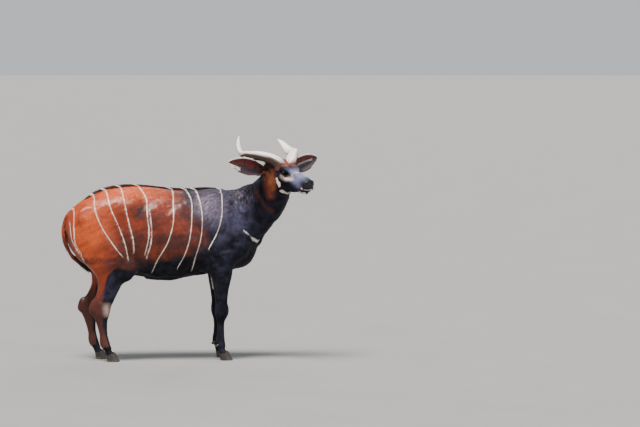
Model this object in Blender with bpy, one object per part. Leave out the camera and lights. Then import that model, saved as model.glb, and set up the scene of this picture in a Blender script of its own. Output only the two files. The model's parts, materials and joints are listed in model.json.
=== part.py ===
"""A life-size bongo bull that stands and looks round over its right shoulder.

+X is the way the trunk faces, +Y its left and +Z up. The floor is at Z = 0, and the origin lies
under the middle of the whole animal. Sizes are in metres.

The flesh is one field of distances: lofted sections and muscles run into each other smoothly.
The field becomes a mesh, which is thinned and then parted into nodes by cutters.
Horns, ears, eyes, claws, tail and hair are modelled on their own and set on that flesh.
"""

import math
import random

import bmesh
import bpy
import numpy as np
import openvdb
from mathutils import Matrix, Vector

# Driving sizes
GAP = 0.0003
WELD = 0.000008
BODY_VOXEL = 0.009
HEAD_VOXEL = 0.0032
FAR = 0.25
SIDES = {"right": -1.0, "left": 1.0}
BODY_TRIANGLES = 6400
HEAD_TRIANGLES = 3000

# Colours
RUST_COLOR = (0.30, 0.075, 0.025)
DARK_COLOR = (0.035, 0.028, 0.030)
HORN_COLOR = (0.36, 0.27, 0.20)
HOOF_COLOR = (0.025, 0.020, 0.018)
EYE_COLOR = (0.012, 0.008, 0.006)

# Where the head is and where it looks
HEAD_PLACE = (0.866, -0.335, 1.322)
HEAD_YAW = math.radians(-60)
HEAD_PITCH = math.radians(-15)
HEAD_ROLL = math.radians(1)
EYE_PLACE = (0.025, 0.054, 0.030)
EYE_RADIUS = 0.0195
EYE_LOOK = (0.26, 0.95, 0.10)

# The left hind foot stands further back than the right one
HIND_STEP_BACK = 0.062
STIFLE_HEIGHT = 0.64

# Where the flesh is parted into nodes
LEG_TOP = 0.590
CORONET_HEIGHT = 0.050
CORONET_RISE = 0.30
NECK_CUT = ((0.600, -0.030, 1.000), (0.80, -0.20, 0.56))
HEAD_CUT = ((-0.148, 0, 0.0), (0.955, 0, 0.30))

# Horns, as knots in the head's frame on its left: x, y, z, half breadth and half thickness
HORN_KNOTS = [
    (-0.048, 0.042, 0.026, 0.041, 0.041),
    (-0.062, 0.056, 0.064, 0.042, 0.041),
    (-0.106, 0.096, 0.090, 0.037, 0.036),
    (-0.162, 0.148, 0.098, 0.034, 0.032),
    (-0.220, 0.185, 0.090, 0.033, 0.027),
    (-0.258, 0.194, 0.086, 0.032, 0.021),
    (-0.300, 0.190, 0.100, 0.027, 0.0155),
    (-0.350, 0.182, 0.130, 0.017, 0.0105),
    (-0.394, 0.174, 0.150, 0.003, 0.003),
]
# How far each tip stands above or below the knots, and how far the bend lies off them
HORN_LIFT = {"right": 0.018, "left": -0.018}
HORN_BEND = {"right": (-0.016, 0.014, -0.030), "left": (0.0, 0.0, 0.0)}

# Ears: root in the head's frame, way to the tip and way the hollow faces, both in the world
EAR_LENGTH = {"right": 0.312, "left": 0.310}
EAR_ROOT = {"right": (-0.130, 0.074, -0.030), "left": (-0.132, 0.068, -0.022)}
EAR_ALONG = {"right": (-0.955, -0.250, 0.268), "left": (0.82, 0.50, 0.30)}
EAR_ARCH = {"right": 0.008, "left": 0.004}
EAR_FACE = {"right": (-0.10, -1.0, 0.16), "left": (0.42, -0.90, 0.0)}
# Share of the length, half width, half the angle that the leaf wraps, thickness
EAR_SECTIONS = [
    (0.00, 0.021, 155, 0.007),
    (0.10, 0.024, 150, 0.007),
    (0.20, 0.034, 115, 0.006),
    (0.32, 0.044, 92, 0.005),
    (0.45, 0.055, 78, 0.005),
    (0.58, 0.056, 70, 0.005),
    (0.70, 0.051, 64, 0.005),
    (0.81, 0.041, 60, 0.005),
    (0.90, 0.029, 55, 0.005),
    (0.96, 0.018, 50, 0.005),
    (1.00, 0.007, 40, 0.004),
]

# The tail hangs in the cleft of the buttocks: x, z, half depth, half width
TAIL_KNOTS = [
    (-0.600, 1.060, 0.020, 0.028),
    (-0.644, 1.036, 0.021, 0.027),
    (-0.673, 0.986, 0.019, 0.025),
    (-0.684, 0.916, 0.016, 0.021),
    (-0.680, 0.848, 0.014, 0.018),
    (-0.660, 0.788, 0.013, 0.016),
    (-0.624, 0.734, 0.013, 0.015),
    (-0.576, 0.694, 0.014, 0.016),
]


# Hair that breaks the outline: the crest along the spine and the tuft of the tail
CREST_FROM = -0.530
CREST_TO = 0.425
CREST_LOCKS = 42
CREST_LENGTH = 0.056
TUFT_LOCKS = 12
TUFT_LENGTH = 0.105


def smooth_rows(rows, samples=160):
    """Rows of a table as a dense, smooth table: the first column is the place along the loft."""
    rows = np.array(sorted(rows), float)
    at, values = rows[:, 0], rows[:, 1:]
    slopes = np.gradient(values, at, axis=0)
    dense = np.linspace(at[0], at[-1], samples)
    i = np.clip(np.searchsorted(at, dense) - 1, 0, len(at) - 2)
    step = (at[i + 1] - at[i])[:, None]
    t = ((dense - at[i])[:, None]) / step
    start = (2 * t**3 - 3 * t**2 + 1) * values[i] + (t**3 - 2 * t**2 + t) * step * slopes[i]
    end = (3 * t**2 - 2 * t**3) * values[i + 1] + (t**3 - t**2) * step * slopes[i + 1]
    return dense, start + end


def section_distance(across, along, half_across, half_along, power):
    """Distance to a superellipse, measured on the line from its middle."""
    reach = np.hypot(across, along) + 1e-6
    ratio = (np.abs(across) / half_across) ** power + (np.abs(along) / half_along) ** power
    return reach - reach / np.maximum(ratio ** (1 / power), 1e-4)


class Loft:
    """Sections along one axis: place, low edge, high edge, middle across, half width, power."""

    def __init__(self, rows, axes, blend, widest=0.5):
        self.place, self.values = smooth_rows(rows)
        self.axes = axes
        self.blend = blend
        self.widest = widest
        s, a, b = axes
        self.low, self.high = np.zeros(3), np.zeros(3)
        self.low[s], self.high[s] = self.place[0], self.place[-1]
        self.low[b], self.high[b] = self.values[:, 0].min(), self.values[:, 1].max()
        self.low[a] = (self.values[:, 2] - self.values[:, 3]).min()
        self.high[a] = (self.values[:, 2] + self.values[:, 3]).max()

    def distance(self, points):
        s, a, b = (points[:, i] for i in self.axes)
        low, high, middle, half, power = (
            np.interp(s, self.place, column) for column in self.values.T
        )
        centre = low + (high - low) * self.widest
        along = b - centre
        half_along = np.where(along > 0, high - centre, centre - low)
        side = section_distance(a - middle, along, half, half_along, power)
        past = np.maximum(self.place[0] - s, s - self.place[-1])
        return np.maximum(side, past)


class Path:
    """Sections along a curve in space, each with its middle, half height, half width and side."""

    def __init__(self, rows, blend, power=2.0):
        rows = [(i, *row) for i, row in enumerate(rows)]
        _, dense = smooth_rows(rows, samples=60)
        self.middle, self.sizes = dense[:, :3], dense[:, 3:5]
        self.side = dense[:, 5:8] / np.linalg.norm(dense[:, 5:8], axis=1)[:, None]
        self.blend = blend
        self.power = power
        reach = self.sizes.max(axis=1)[:, None]
        self.low, self.high = (self.middle - reach).min(0), (self.middle + reach).max(0)

    def distance(self, points):
        nearest = np.full(len(points), np.inf)
        place = np.zeros(len(points))
        for i, (a, b) in enumerate(zip(self.middle[:-1], self.middle[1:])):
            run = b - a
            t = np.clip(((points - a) @ run) / (run @ run), 0, 1)
            off = ((points - a - t[:, None] * run) ** 2).sum(1)
            closer = off < nearest
            nearest = np.where(closer, off, nearest)
            place = np.where(closer, i + t, place)
        steps = np.arange(len(self.middle))
        middle, side = (
            np.stack([np.interp(place, steps, column) for column in table.T], 1)
            for table in (self.middle, self.side)
        )
        tall, wide = (np.interp(place, steps, column) for column in self.sizes.T)
        offset = points - middle
        across = (offset * side).sum(1)
        along = np.sqrt(np.maximum((offset**2).sum(1) - across**2, 0))
        return section_distance(across, along, wide, tall, self.power)


class Lump:
    """An ellipsoid, turned by a matrix whose columns are its own axes."""

    def __init__(self, middle, radii, blend, turn=None, carve=False):
        self.middle, self.radii = np.array(middle, float), np.array(radii, float)
        self.turn = np.eye(3) if turn is None else np.array(turn)
        self.blend = blend
        self.carve = carve
        reach = np.abs(self.turn) @ self.radii
        self.low, self.high = self.middle - reach, self.middle + reach

    def distance(self, points):
        local = (points - self.middle) @ self.turn
        k = np.linalg.norm(local / self.radii, axis=1) + 1e-6
        return k * (k - 1) / np.linalg.norm(local / self.radii**2, axis=1).clip(1e-6)


class InFrame:
    """A form modelled in the head's own frame, read at points of the whole animal."""

    def __init__(self, form, frame):
        self.form = form
        self.turn = np.array(frame.to_3x3())
        self.place = np.array(frame.translation)
        self.blend = form.blend
        self.carve = getattr(form, "carve", False)
        corners = np.array(np.meshgrid(*zip(form.low, form.high))).reshape(3, -1).T
        moved = corners @ self.turn.T + self.place
        self.low, self.high = moved.min(0), moved.max(0)

    def distance(self, points):
        return self.form.distance((points - self.place) @ self.turn)


def joined(so_far, form, points):
    """The field with one more form run into it, or carved out of it."""
    new = form.distance(points)
    if getattr(form, "carve", False):
        share = np.clip(0.5 - 0.5 * (so_far + new) / form.blend, 0, 1)
        return so_far * (1 - share) - new * share + form.blend * share * (1 - share)
    share = np.clip(0.5 + 0.5 * (so_far - new) / form.blend, 0, 1)
    return so_far * (1 - share) + new * share - form.blend * share * (1 - share)


def head_frame():
    """The head's frame: +X to the nose, +Y to the left ear, +Z up, origin between the eyes."""
    turn = (
        Matrix.Rotation(HEAD_YAW, 4, "Z")
        @ Matrix.Rotation(-HEAD_PITCH, 4, "Y")
        @ Matrix.Rotation(HEAD_ROLL, 4, "X")
    )
    return Matrix.Translation(HEAD_PLACE) @ turn


def turned(yaw=0.0, pitch=0.0, roll=0.0):
    """A rotation given in degrees, as rows of numbers."""
    angles = [math.radians(v) for v in (yaw, pitch, roll)]
    turn = (
        Matrix.Rotation(angles[0], 3, "Z")
        @ Matrix.Rotation(-angles[1], 3, "Y")
        @ Matrix.Rotation(angles[2], 3, "X")
    )
    return [list(row) for row in turn]


def trunk_forms():
    """Barrel, shoulders, haunches and brisket."""
    barrel = Loft(
        [
            (-0.660, 0.900, 1.000, 0, 0.050, 2.0),
            (-0.640, 0.820, 1.050, 0, 0.105, 2.0),
            (-0.590, 0.750, 1.094, 0, 0.155, 2.1),
            (-0.500, 0.680, 1.156, 0, 0.190, 2.2),
            (-0.380, 0.640, 1.206, 0, 0.208, 2.2),
            (-0.240, 0.606, 1.228, 0, 0.226, 2.2),
            (-0.090, 0.588, 1.224, 0, 0.242, 2.2),
            (0.060, 0.580, 1.208, 0, 0.247, 2.2),
            (0.200, 0.590, 1.200, 0, 0.236, 2.2),
            (0.340, 0.610, 1.206, 0, 0.208, 2.1),
            (0.460, 0.634, 1.192, 0, 0.178, 2.0),
            (0.560, 0.680, 1.150, 0, 0.145, 2.0),
            (0.630, 0.750, 1.080, 0, 0.110, 2.0),
            (0.690, 0.830, 0.980, 0, 0.050, 2.0),
        ],
        (0, 1, 2),
        0.05,
        widest=0.44,
    )
    forms = [barrel]
    for side in SIDES.values():
        forms += [
            Lump((0.420, side * 0.120, 0.960), (0.150, 0.085, 0.240), 0.06, turned(0, 22)),
            Lump((0.500, side * 0.120, 0.820), (0.120, 0.082, 0.120), 0.06),
            Lump((0.360, side * 0.142, 0.770), (0.110, 0.066, 0.130), 0.05),
            Lump((-0.440, side * 0.112, 0.950), (0.200, 0.100, 0.190), 0.08),
            Lump((-0.270, side * 0.130, 1.090), (0.085, 0.060, 0.070), 0.08),
            Lump((-0.590, side * 0.075, 0.930), (0.070, 0.072, 0.120), 0.05),
        ]
    forms.append(Lump((0.560, 0, 0.760), (0.110, 0.095, 0.110), 0.07))
    forms.append(Lump((0.020, 0, 0.588), (0.120, 0.030, 0.022), 0.04))
    return forms


def fore_leg_rows(side):
    """Height, back, front, middle and half width of the fore leg, from shoulder to coronet."""
    rows = [
        (0.760, 0.310, 0.520, 0.142, 0.066),
        (0.680, 0.322, 0.508, 0.140, 0.066),
        (0.620, 0.340, 0.494, 0.137, 0.062),
        (0.550, 0.356, 0.478, 0.132, 0.054),
        (0.470, 0.368, 0.466, 0.127, 0.046),
        (0.410, 0.375, 0.461, 0.124, 0.041),
        (0.360, 0.374, 0.462, 0.122, 0.042),
        (0.320, 0.376, 0.457, 0.120, 0.039),
        (0.280, 0.386, 0.444, 0.118, 0.029),
        (0.190, 0.388, 0.440, 0.117, 0.025),
        (0.140, 0.380, 0.444, 0.116, 0.031),
        (0.110, 0.380, 0.448, 0.116, 0.034),
        (0.080, 0.396, 0.452, 0.116, 0.031),
        (0.055, 0.402, 0.466, 0.116, 0.037),
        (0.040, 0.408, 0.470, 0.116, 0.034),
    ]
    return [(z, back, front, side * y, half, 2.2) for z, back, front, y, half in rows]


def hind_leg_rows(side):
    """The same for the hind leg, from haunch to coronet; the left one trails behind."""
    rows = [
        (0.980, -0.590, -0.260, 0.115, 0.080),
        (0.880, -0.635, -0.230, 0.122, 0.094),
        (0.800, -0.628, -0.205, 0.128, 0.100),
        (0.725, -0.585, -0.200, 0.132, 0.098),
        (0.670, -0.528, -0.212, 0.135, 0.090),
        (0.626, -0.486, -0.234, 0.137, 0.080),
        (0.583, -0.464, -0.262, 0.137, 0.069),
        (0.540, -0.456, -0.288, 0.135, 0.060),
        (0.485, -0.464, -0.316, 0.132, 0.050),
        (0.430, -0.486, -0.342, 0.129, 0.041),
        (0.390, -0.506, -0.360, 0.127, 0.036),
        (0.365, -0.509, -0.366, 0.126, 0.037),
        (0.330, -0.492, -0.374, 0.125, 0.036),
        (0.290, -0.474, -0.386, 0.123, 0.030),
        (0.245, -0.459, -0.389, 0.122, 0.026),
        (0.180, -0.444, -0.384, 0.121, 0.0245),
        (0.140, -0.444, -0.373, 0.120, 0.031),
        (0.110, -0.436, -0.364, 0.120, 0.034),
        (0.080, -0.412, -0.352, 0.120, 0.031),
        (0.055, -0.400, -0.334, 0.120, 0.037),
        (0.040, -0.394, -0.330, 0.120, 0.034),
    ]
    step = HIND_STEP_BACK if side > 0 else 0.0
    share = [step * min(1, max(0, (STIFLE_HEIGHT - row[0]) / 0.27)) for row in rows]
    return [
        (z, back - s, front - s, side * y, half, 2.2)
        for (z, back, front, y, half), s in zip(rows, share)
    ]


def leg_forms():
    """Four legs with the bony points that show at knee, hock and fetlock."""
    forms = []
    for side in SIDES.values():
        step = HIND_STEP_BACK if side > 0 else 0.0
        forms.append(Loft(fore_leg_rows(side), (2, 1, 0), 0.045))
        forms.append(Loft(hind_leg_rows(side), (2, 1, 0), 0.05))
        forms.append(Lump((0.330, side * 0.145, 0.672), (0.045, 0.035, 0.045), 0.05))
        forms.append(
            Lump((-0.248, side * 0.150, 0.650), (0.060, 0.050, 0.080), 0.05, turned(0, -20))
        )
        forms.append(
            Lump((-0.492 - step, side * 0.126, 0.392), (0.020, 0.019, 0.050), 0.03, turned(0, -12))
        )
        forms.append(Lump((0.425, side * 0.121, 0.350), (0.042, 0.040, 0.050), 0.03))
    cleft = Lump((-0.700, 0, 0.840), (0.110, 0.034, 0.180), 0.04, carve=True)
    groin = Lump((-0.480, 0, 0.560), (0.200, 0.045, 0.130), 0.06, carve=True)
    return [*forms, cleft, groin]


def neck_forms():
    """The neck bends to the right and rises to the back of the skull."""
    side_to_side = [(0, 1, 0), (0.08, 1, 0), (0.35, 0.94, 0), (0.60, 0.80, 0), (0.74, 0.67, 0)]
    rows = [
        (0.400, 0.000, 0.930, 0.255, 0.150, *side_to_side[0]),
        (0.545, -0.008, 0.985, 0.222, 0.138, *side_to_side[1]),
        (0.660, -0.045, 1.065, 0.180, 0.120, *side_to_side[2]),
        (0.744, -0.114, 1.140, 0.153, 0.108, *side_to_side[3]),
        (0.792, -0.190, 1.232, 0.134, 0.094, *side_to_side[4]),
        (0.818, -0.240, 1.315, 0.098, 0.078, *side_to_side[4]),
    ]
    return [Path(rows, 0.06, power=2.1)]


def head_forms():
    """The head in its own frame: skull and muzzle, brows, cheeks, lips, chin and nostrils."""
    skull = Loft(
        [
            (-0.165, -0.060, 0.010, 0, 0.030, 2.0),
            (-0.145, -0.100, 0.038, 0, 0.060, 2.1),
            (-0.110, -0.125, 0.056, 0, 0.072, 2.2),
            (-0.070, -0.140, 0.064, 0, 0.076, 2.3),
            (-0.025, -0.138, 0.063, 0, 0.075, 2.3),
            (0.020, -0.126, 0.057, 0, 0.066, 2.3),
            (0.060, -0.112, 0.050, 0, 0.055, 2.3),
            (0.100, -0.100, 0.045, 0, 0.047, 2.3),
            (0.140, -0.090, 0.041, 0, 0.042, 2.3),
            (0.180, -0.080, 0.039, 0, 0.040, 2.4),
            (0.215, -0.071, 0.036, 0, 0.040, 2.3),
            (0.240, -0.060, 0.029, 0, 0.036, 2.1),
            (0.256, -0.047, 0.018, 0, 0.027, 2.0),
            (0.265, -0.034, 0.006, 0, 0.013, 2.0),
        ],
        (0, 1, 2),
        0.05,
        widest=0.62,
    )
    forms = [skull]
    x, y, z = EYE_PLACE
    for side in SIDES.values():
        nostril = turned(-48 * side, -22)
        forms += [
            Lump((x - 0.008, side * (y - 0.010), z - 0.002), (0.050, 0.027, 0.036), 0.030),
            Lump((x - 0.006, side * (y - 0.004), z + 0.019), (0.034, 0.014, 0.012), 0.016),
            Lump((-0.068, side * 0.047, -0.088), (0.066, 0.027, 0.062), 0.03),
            Lump((0.070, side * 0.046, -0.026), (0.085, 0.013, 0.020), 0.03),
            Lump((0.215, side * 0.026, -0.024), (0.040, 0.018, 0.024), 0.018),
            Lump((0.240, side * 0.026, 0.008), (0.022, 0.014, 0.016), 0.014),
            Lump((-0.060, side * 0.040, 0.052), (0.045, 0.036, 0.030), 0.025),
            Lump((-0.104, side * 0.070, 0.020), (0.030, 0.028, 0.032), 0.03),
            Lump((0.086, side * 0.054, 0.012), (0.070, 0.012, 0.018), 0.022, carve=True),
            Lump((0.258, side * 0.027, 0.006), (0.016, 0.0055, 0.0075), 0.004, nostril, carve=True),
        ]
    forms.append(Lump((0.206, 0, -0.069), (0.036, 0.027, 0.012), 0.014))
    return forms


def eyelid_forms():
    """Lids, as a low mound round each eye that its ball and the slit are cut from."""
    x, y, z = EYE_PLACE
    return [
        Lump((x, side * y, z), (0.0245, 0.0225, 0.0215), 0.008) for side in SIDES.values()
    ]


class Mouth:
    """The line between the lips: a shallow groove from the front round to each corner."""

    low = np.array([0.135, -0.06, -0.08])
    high = np.array([0.30, 0.06, -0.02])
    blend = 0.01

    def groove(self, points, so_far):
        x, y, z = points.T
        line = -0.046 - 0.10 * np.maximum(0.215 - x, 0) + 0.25 * np.maximum(x - 0.235, 0)
        slit = np.maximum(np.abs(z - line) - 0.0022, 0.150 - x)
        slit = np.maximum(slit, -0.008 - so_far)
        return np.maximum(so_far, -slit)


def animal_forms():
    """All the flesh but the mouth's groove, in the frame of the whole animal."""
    frame = head_frame()
    head = [InFrame(form, frame) for form in head_forms() + eyelid_forms()]
    return trunk_forms() + neck_forms() + leg_forms() + head


def field_mesh(name, forms, low, high, voxel, frame=None, mouth=None):
    """The surface where the field is zero, inside the box from low to high, as an object."""
    axes = [np.arange(a, b + voxel, voxel) for a, b in zip(low, high)]
    shape = [len(axis) for axis in axes]
    values = np.full(shape, FAR)
    turn = np.eye(3) if frame is None else np.array(frame.to_3x3())
    place = np.zeros(3) if frame is None else np.array(frame.translation)
    for form in forms:
        corners = np.array(np.meshgrid(*zip(form.low, form.high))).reshape(3, -1).T
        corners = (corners - place) @ turn
        margin = form.blend + 3 * voxel
        first = [max(0, int((v - margin - a) / voxel)) for v, a in zip(corners.min(0), low)]
        last = [int((v + margin - a) / voxel) + 2 for v, a in zip(corners.max(0), low)]
        part = tuple(slice(f, max(f, min(n, e))) for f, n, e in zip(first, shape, last))
        block = values[part]
        if block.size == 0:
            continue
        grid = np.meshgrid(*(axis[s] for axis, s in zip(axes, part)), indexing="ij")
        points = np.stack([g.ravel() for g in grid], 1) @ turn.T + place
        values[part] = joined(block.ravel(), form, points).reshape(block.shape)
    if mouth:
        grid = np.meshgrid(*axes, indexing="ij")
        points = np.stack([g.ravel() for g in grid], 1)
        values = mouth.groove(points, values.ravel()).reshape(shape)
    for axis in range(3):
        for end in (0, -1):
            edge = [slice(None)] * 3
            edge[axis] = end
            values[tuple(edge)] = FAR
    volume = openvdb.FloatGrid(FAR)
    volume.copyFromArray(values.astype(np.float32))
    volume.transform = openvdb.createLinearTransform(voxelSize=voxel)
    points, _, quads = volume.convertToPolygons(isovalue=0.0, adaptivity=0.0)
    points = (points + np.array(low)) @ turn.T + place
    mesh = bpy.data.meshes.new(name)
    mesh.from_pydata(points.tolist(), [], quads[:, ::-1].tolist())
    return mesh_object(name, mesh)


def mesh_object(name, mesh, collection=None):
    """A new object for a mesh, in the given collection or in the animal's."""
    obj = bpy.data.objects.new(name, mesh)
    (collection or bpy.data.collections["bongo"]).objects.link(obj)
    return obj


def bmesh_object(name, made, collection=None):
    """A new object from a bmesh, which is freed."""
    bmesh.ops.recalc_face_normals(made, faces=made.faces)
    mesh = bpy.data.meshes.new(name)
    made.to_mesh(mesh)
    made.free()
    return mesh_object(name, mesh, collection)


def applied(obj):
    """Puts the evaluated mesh in place of the object's own and clears its modifiers."""
    graph = bpy.context.evaluated_depsgraph_get()
    mesh = bpy.data.meshes.new_from_object(obj.evaluated_get(graph))
    old = obj.data
    obj.modifiers.clear()
    obj.data = mesh
    bpy.data.meshes.remove(old)
    return obj


def thinned(obj, triangles):
    """Reduces a mesh to about this many triangles, where it is flattest first."""
    count = sum(len(face.vertices) - 2 for face in obj.data.polygons)
    modifier = obj.modifiers.new("thin", "DECIMATE")
    modifier.ratio = min(1.0, triangles / count)
    modifier.use_collapse_triangulate = True
    return applied(obj)


def boolean(obj, other, operation, solver="EXACT"):
    """Cuts, joins or trims an object by another object or by a collection's objects."""
    modifier = obj.modifiers.new(operation.lower(), "BOOLEAN")
    modifier.operation = operation
    modifier.solver = solver
    if isinstance(other, bpy.types.Collection):
        modifier.operand_type = "COLLECTION"
        modifier.collection = other
    else:
        modifier.object = other
    return applied(obj)


def largest_body(obj):
    """Keeps the largest closed surface of a mesh, without the needles that cuts leave on it."""
    made = bmesh.new()
    made.from_mesh(obj.data)
    bmesh.ops.remove_doubles(made, verts=made.verts, dist=WELD)
    left, bodies = set(made.verts), []
    while left:
        found, edge = set(), [left.pop()]
        while edge:
            vertex = edge.pop()
            found.add(vertex)
            near = [e.other_vert(vertex) for e in vertex.link_edges]
            edge += [v for v in near if v in left]
            left.difference_update(near)
        bodies.append(found)
    bodies.sort(key=len)
    for scrap in bodies[:-1]:
        bmesh.ops.delete(made, geom=list(scrap), context="VERTS")
    made.to_mesh(obj.data)
    made.free()
    return obj


def copied(obj, name, collection=None):
    """A copy of an object with a mesh of its own."""
    return mesh_object(name, obj.data.copy(), collection)


def grown(obj, name, by):
    """A copy of an object moved out along its normals, as a cutter that leaves a gap."""
    made = bmesh.new()
    made.from_mesh(obj.data)
    made.normal_update()
    for vertex, normal in [(v, v.normal.copy()) for v in made.verts]:
        vertex.co += normal * by * min(vertex.calc_shell_factor(), 2.0)
    mesh = bpy.data.meshes.new(name)
    made.to_mesh(mesh)
    made.free()
    return mesh_object(name, mesh, bpy.data.collections["cutters"])


def slab(name, middle, normal, size, depth):
    """A box whose top face passes through a point, square to a normal; it reaches down by depth."""
    made = bmesh.new()
    bmesh.ops.create_cube(made, size=1.0)
    bmesh.ops.scale(made, vec=(size, size, depth), verts=made.verts)
    bmesh.ops.translate(made, vec=(0, 0, -depth / 2), verts=made.verts)
    turn = Vector(normal).to_track_quat("Z", "Y").to_matrix().to_4x4()
    bmesh.ops.transform(made, matrix=Matrix.Translation(middle) @ turn, verts=made.verts)
    return bmesh_object(name, made, bpy.data.collections["cutters"])


def bulk(knots, count):
    """Knots as a dense smooth run of the same columns."""
    _, dense = smooth_rows([(i, *knot) for i, knot in enumerate(knots)], samples=count)
    return dense


def lofted(name, rings, collection=None):
    """A closed body through rings of points that have the same number each."""
    made = bmesh.new()
    loops = [[made.verts.new(point) for point in ring] for ring in rings]
    for near, far in zip(loops[:-1], loops[1:]):
        for i in range(len(near)):
            j = (i + 1) % len(near)
            made.faces.new((near[i], near[j], far[j], far[i]))
    made.faces.new(loops[0])
    made.faces.new(loops[-1])
    bmesh.ops.triangulate(made, faces=made.faces)
    return bmesh_object(name, made, collection)


def horn_run(side_name, frame, count):
    """The middles of a horn's sections in the frame of the whole animal, and its half sizes."""
    side = SIDES[side_name]
    run = bulk(HORN_KNOTS, count)
    middles = []
    for i, (x, y, z, _, _) in enumerate(run):
        share = (i / (count - 1)) ** 2.3
        bend = [v * math.sin(math.pi * share) for v in HORN_BEND[side_name]]
        lift = HORN_LIFT[side_name] * share
        middles.append(frame @ Vector((x + bend[0], side * (y + bend[1]), z + bend[2] + lift)))
    return middles, [row[3:] for row in run]


def horn(name, side_name, frame):
    """A horn that sweeps out and back, then turns in and up, flatter from its bend on."""
    side = SIDES[side_name]
    middles, sizes = horn_run(side_name, frame, 17)
    rings = []
    for i, (middle, (broad, thick)) in enumerate(zip(middles, sizes)):
        ahead = middles[min(i + 1, len(middles) - 1)] - middles[max(i - 1, 0)]
        out = ahead.cross(Vector((0, 0, 1))).normalized() * side
        up = out.cross(ahead).normalized() * side
        long, short = (out + up).normalized(), (up - out).normalized()
        ring = []
        for k in range(12):
            angle = 2 * math.pi * k / 12
            keel = 1 + 0.14 * max(0, math.cos(angle)) ** 6
            across = long * broad * keel * math.cos(angle)
            ring.append(middle + across + short * thick * math.sin(angle))
        rings.append(ring)
    return lofted(name, rings)


def ear(name, side_name, frame):
    """A leaf-shaped cup: a stem that opens into a hollow and closes again to a blunt point."""
    side = SIDES[side_name]
    x, y, z = EAR_ROOT[side_name]
    root = frame @ Vector((x, side * y, z))
    along = Vector(EAR_ALONG[side_name]).normalized()
    face = Vector(EAR_FACE[side_name])
    face = (face - along * face.dot(along)).normalized()
    across = along.cross(face)
    rings = []
    for share, half, wrap, thick in EAR_SECTIONS:
        wrap = math.radians(wrap)
        radius = half / math.sin(min(wrap, math.pi / 2))
        bend = (face * 0.020 - across * side * EAR_ARCH[side_name]) * math.sin(math.pi * share)
        middle = root + along * EAR_LENGTH[side_name] * share + bend
        ring = []
        for radius_at, turns in ((radius, 1), (radius - thick, -1)):
            for k in range(-4, 5):
                angle = turns * wrap * k / 4
                back = math.cos(min(wrap, math.pi / 2)) * radius - math.cos(angle) * radius_at
                ring.append(middle + across * math.sin(angle) * radius_at + face * back)
        rings.append(ring)
    return lofted(name, rings)


def tail(name):
    """The tail, from its root on the rump down to where the tuft starts."""
    run = bulk(TAIL_KNOTS, 15)
    rings = []
    for i, (x, z, deep, wide) in enumerate(run):
        before, after = run[max(i - 1, 0)], run[min(i + 1, len(run) - 1)]
        ahead = Vector((after[0] - before[0], 0, after[1] - before[1])).normalized()
        out = ahead.cross(Vector((0, 1, 0)))
        ring = []
        for k in range(10):
            angle = 2 * math.pi * k / 10
            offset = out * deep * math.cos(angle) + Vector((0, wide * math.sin(angle), 0))
            ring.append(Vector((x, 0, z)) + offset)
        rings.append(ring)
    return lofted(name, rings)


def eye_frame(side, frame):
    """The frame of an eye, whose Z axis looks out of the head."""
    x, y, z = EYE_PLACE
    look = frame.to_3x3() @ Vector((EYE_LOOK[0], side * EYE_LOOK[1], EYE_LOOK[2]))
    ahead = frame.to_3x3() @ Vector((1, 0, -0.10))
    up = look.normalized()
    long = (ahead - up * ahead.dot(up)).normalized()
    turn = Matrix((long, up.cross(long), up)).transposed().to_4x4()
    return Matrix.Translation(frame @ Vector((x, side * y, z))) @ turn


def eyeball(name, side, frame, radius, collection=None):
    """A ball of the same facets for the eye and for the socket that holds it."""
    made = bmesh.new()
    bmesh.ops.create_uvsphere(made, u_segments=16, v_segments=10, radius=radius)
    bmesh.ops.transform(made, matrix=eye_frame(side, frame), verts=made.verts)
    return bmesh_object(name, made, collection)


def lid_opening(name, side, frame):
    """The almond-shaped slit between the lids, as a cutter that reaches out of the head."""
    place = eye_frame(side, frame)
    rings = []
    for height, share in ((0.004, 0.80), (0.018, 1.0), (0.040, 1.5)):
        ring = []
        for k in range(16):
            angle = 2 * math.pi * k / 16
            x = 0.0176 * math.cos(angle)
            y = 0.0110 * math.sin(angle) * abs(math.sin(angle)) ** 0.35
            ring.append(place @ Vector((x * share, y * share, height)))
        rings.append(ring)
    return lofted(name, rings, bpy.data.collections["cutters"])


def claw(name, at_x, at_y, way):
    """Half of a cloven hoof: a flat sole, a sloping front wall and a pointed toe."""
    rings = []
    for z, length, width, shift in (
        (0.000, 0.0425, 0.0165, 0.0100),
        (0.006, 0.0430, 0.0172, 0.0095),
        (0.030, 0.0380, 0.0165, 0.0015),
        (0.075, 0.0310, 0.0140, -0.0160),
    ):
        ring = []
        for k in range(12):
            angle = 2 * math.pi * k / 12
            toe = math.cos(angle)
            x = length * toe + shift
            y = width * math.sin(angle) * (1 - 0.30 * max(toe, 0))
            y = y * (1.0 if y * way > 0 else 0.80) - way * 0.003 * max(toe, 0)
            ring.append((at_x + x, at_y + y, z))
        rings.append(ring)
    return lofted(name, rings)


def dewclaw(name, at, way):
    """A small false hoof behind the fetlock, with a blunt end that points down and back."""
    rings = []
    back = Vector((-0.80, way * 0.12, -0.60)).normalized()
    out = Vector((0, 1, 0))
    up = back.cross(out)
    for step, radius in ((-0.018, 0.0090), (0.004, 0.0090), (0.013, 0.0070), (0.019, 0.0030)):
        ring = []
        for k in range(6):
            angle = 2 * math.pi * k / 6
            offset = out * radius * math.cos(angle) + up * radius * 0.8 * math.sin(angle)
            ring.append(Vector(at) + back * step + offset)
        rings.append(ring)
    return lofted(name, rings)


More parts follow.
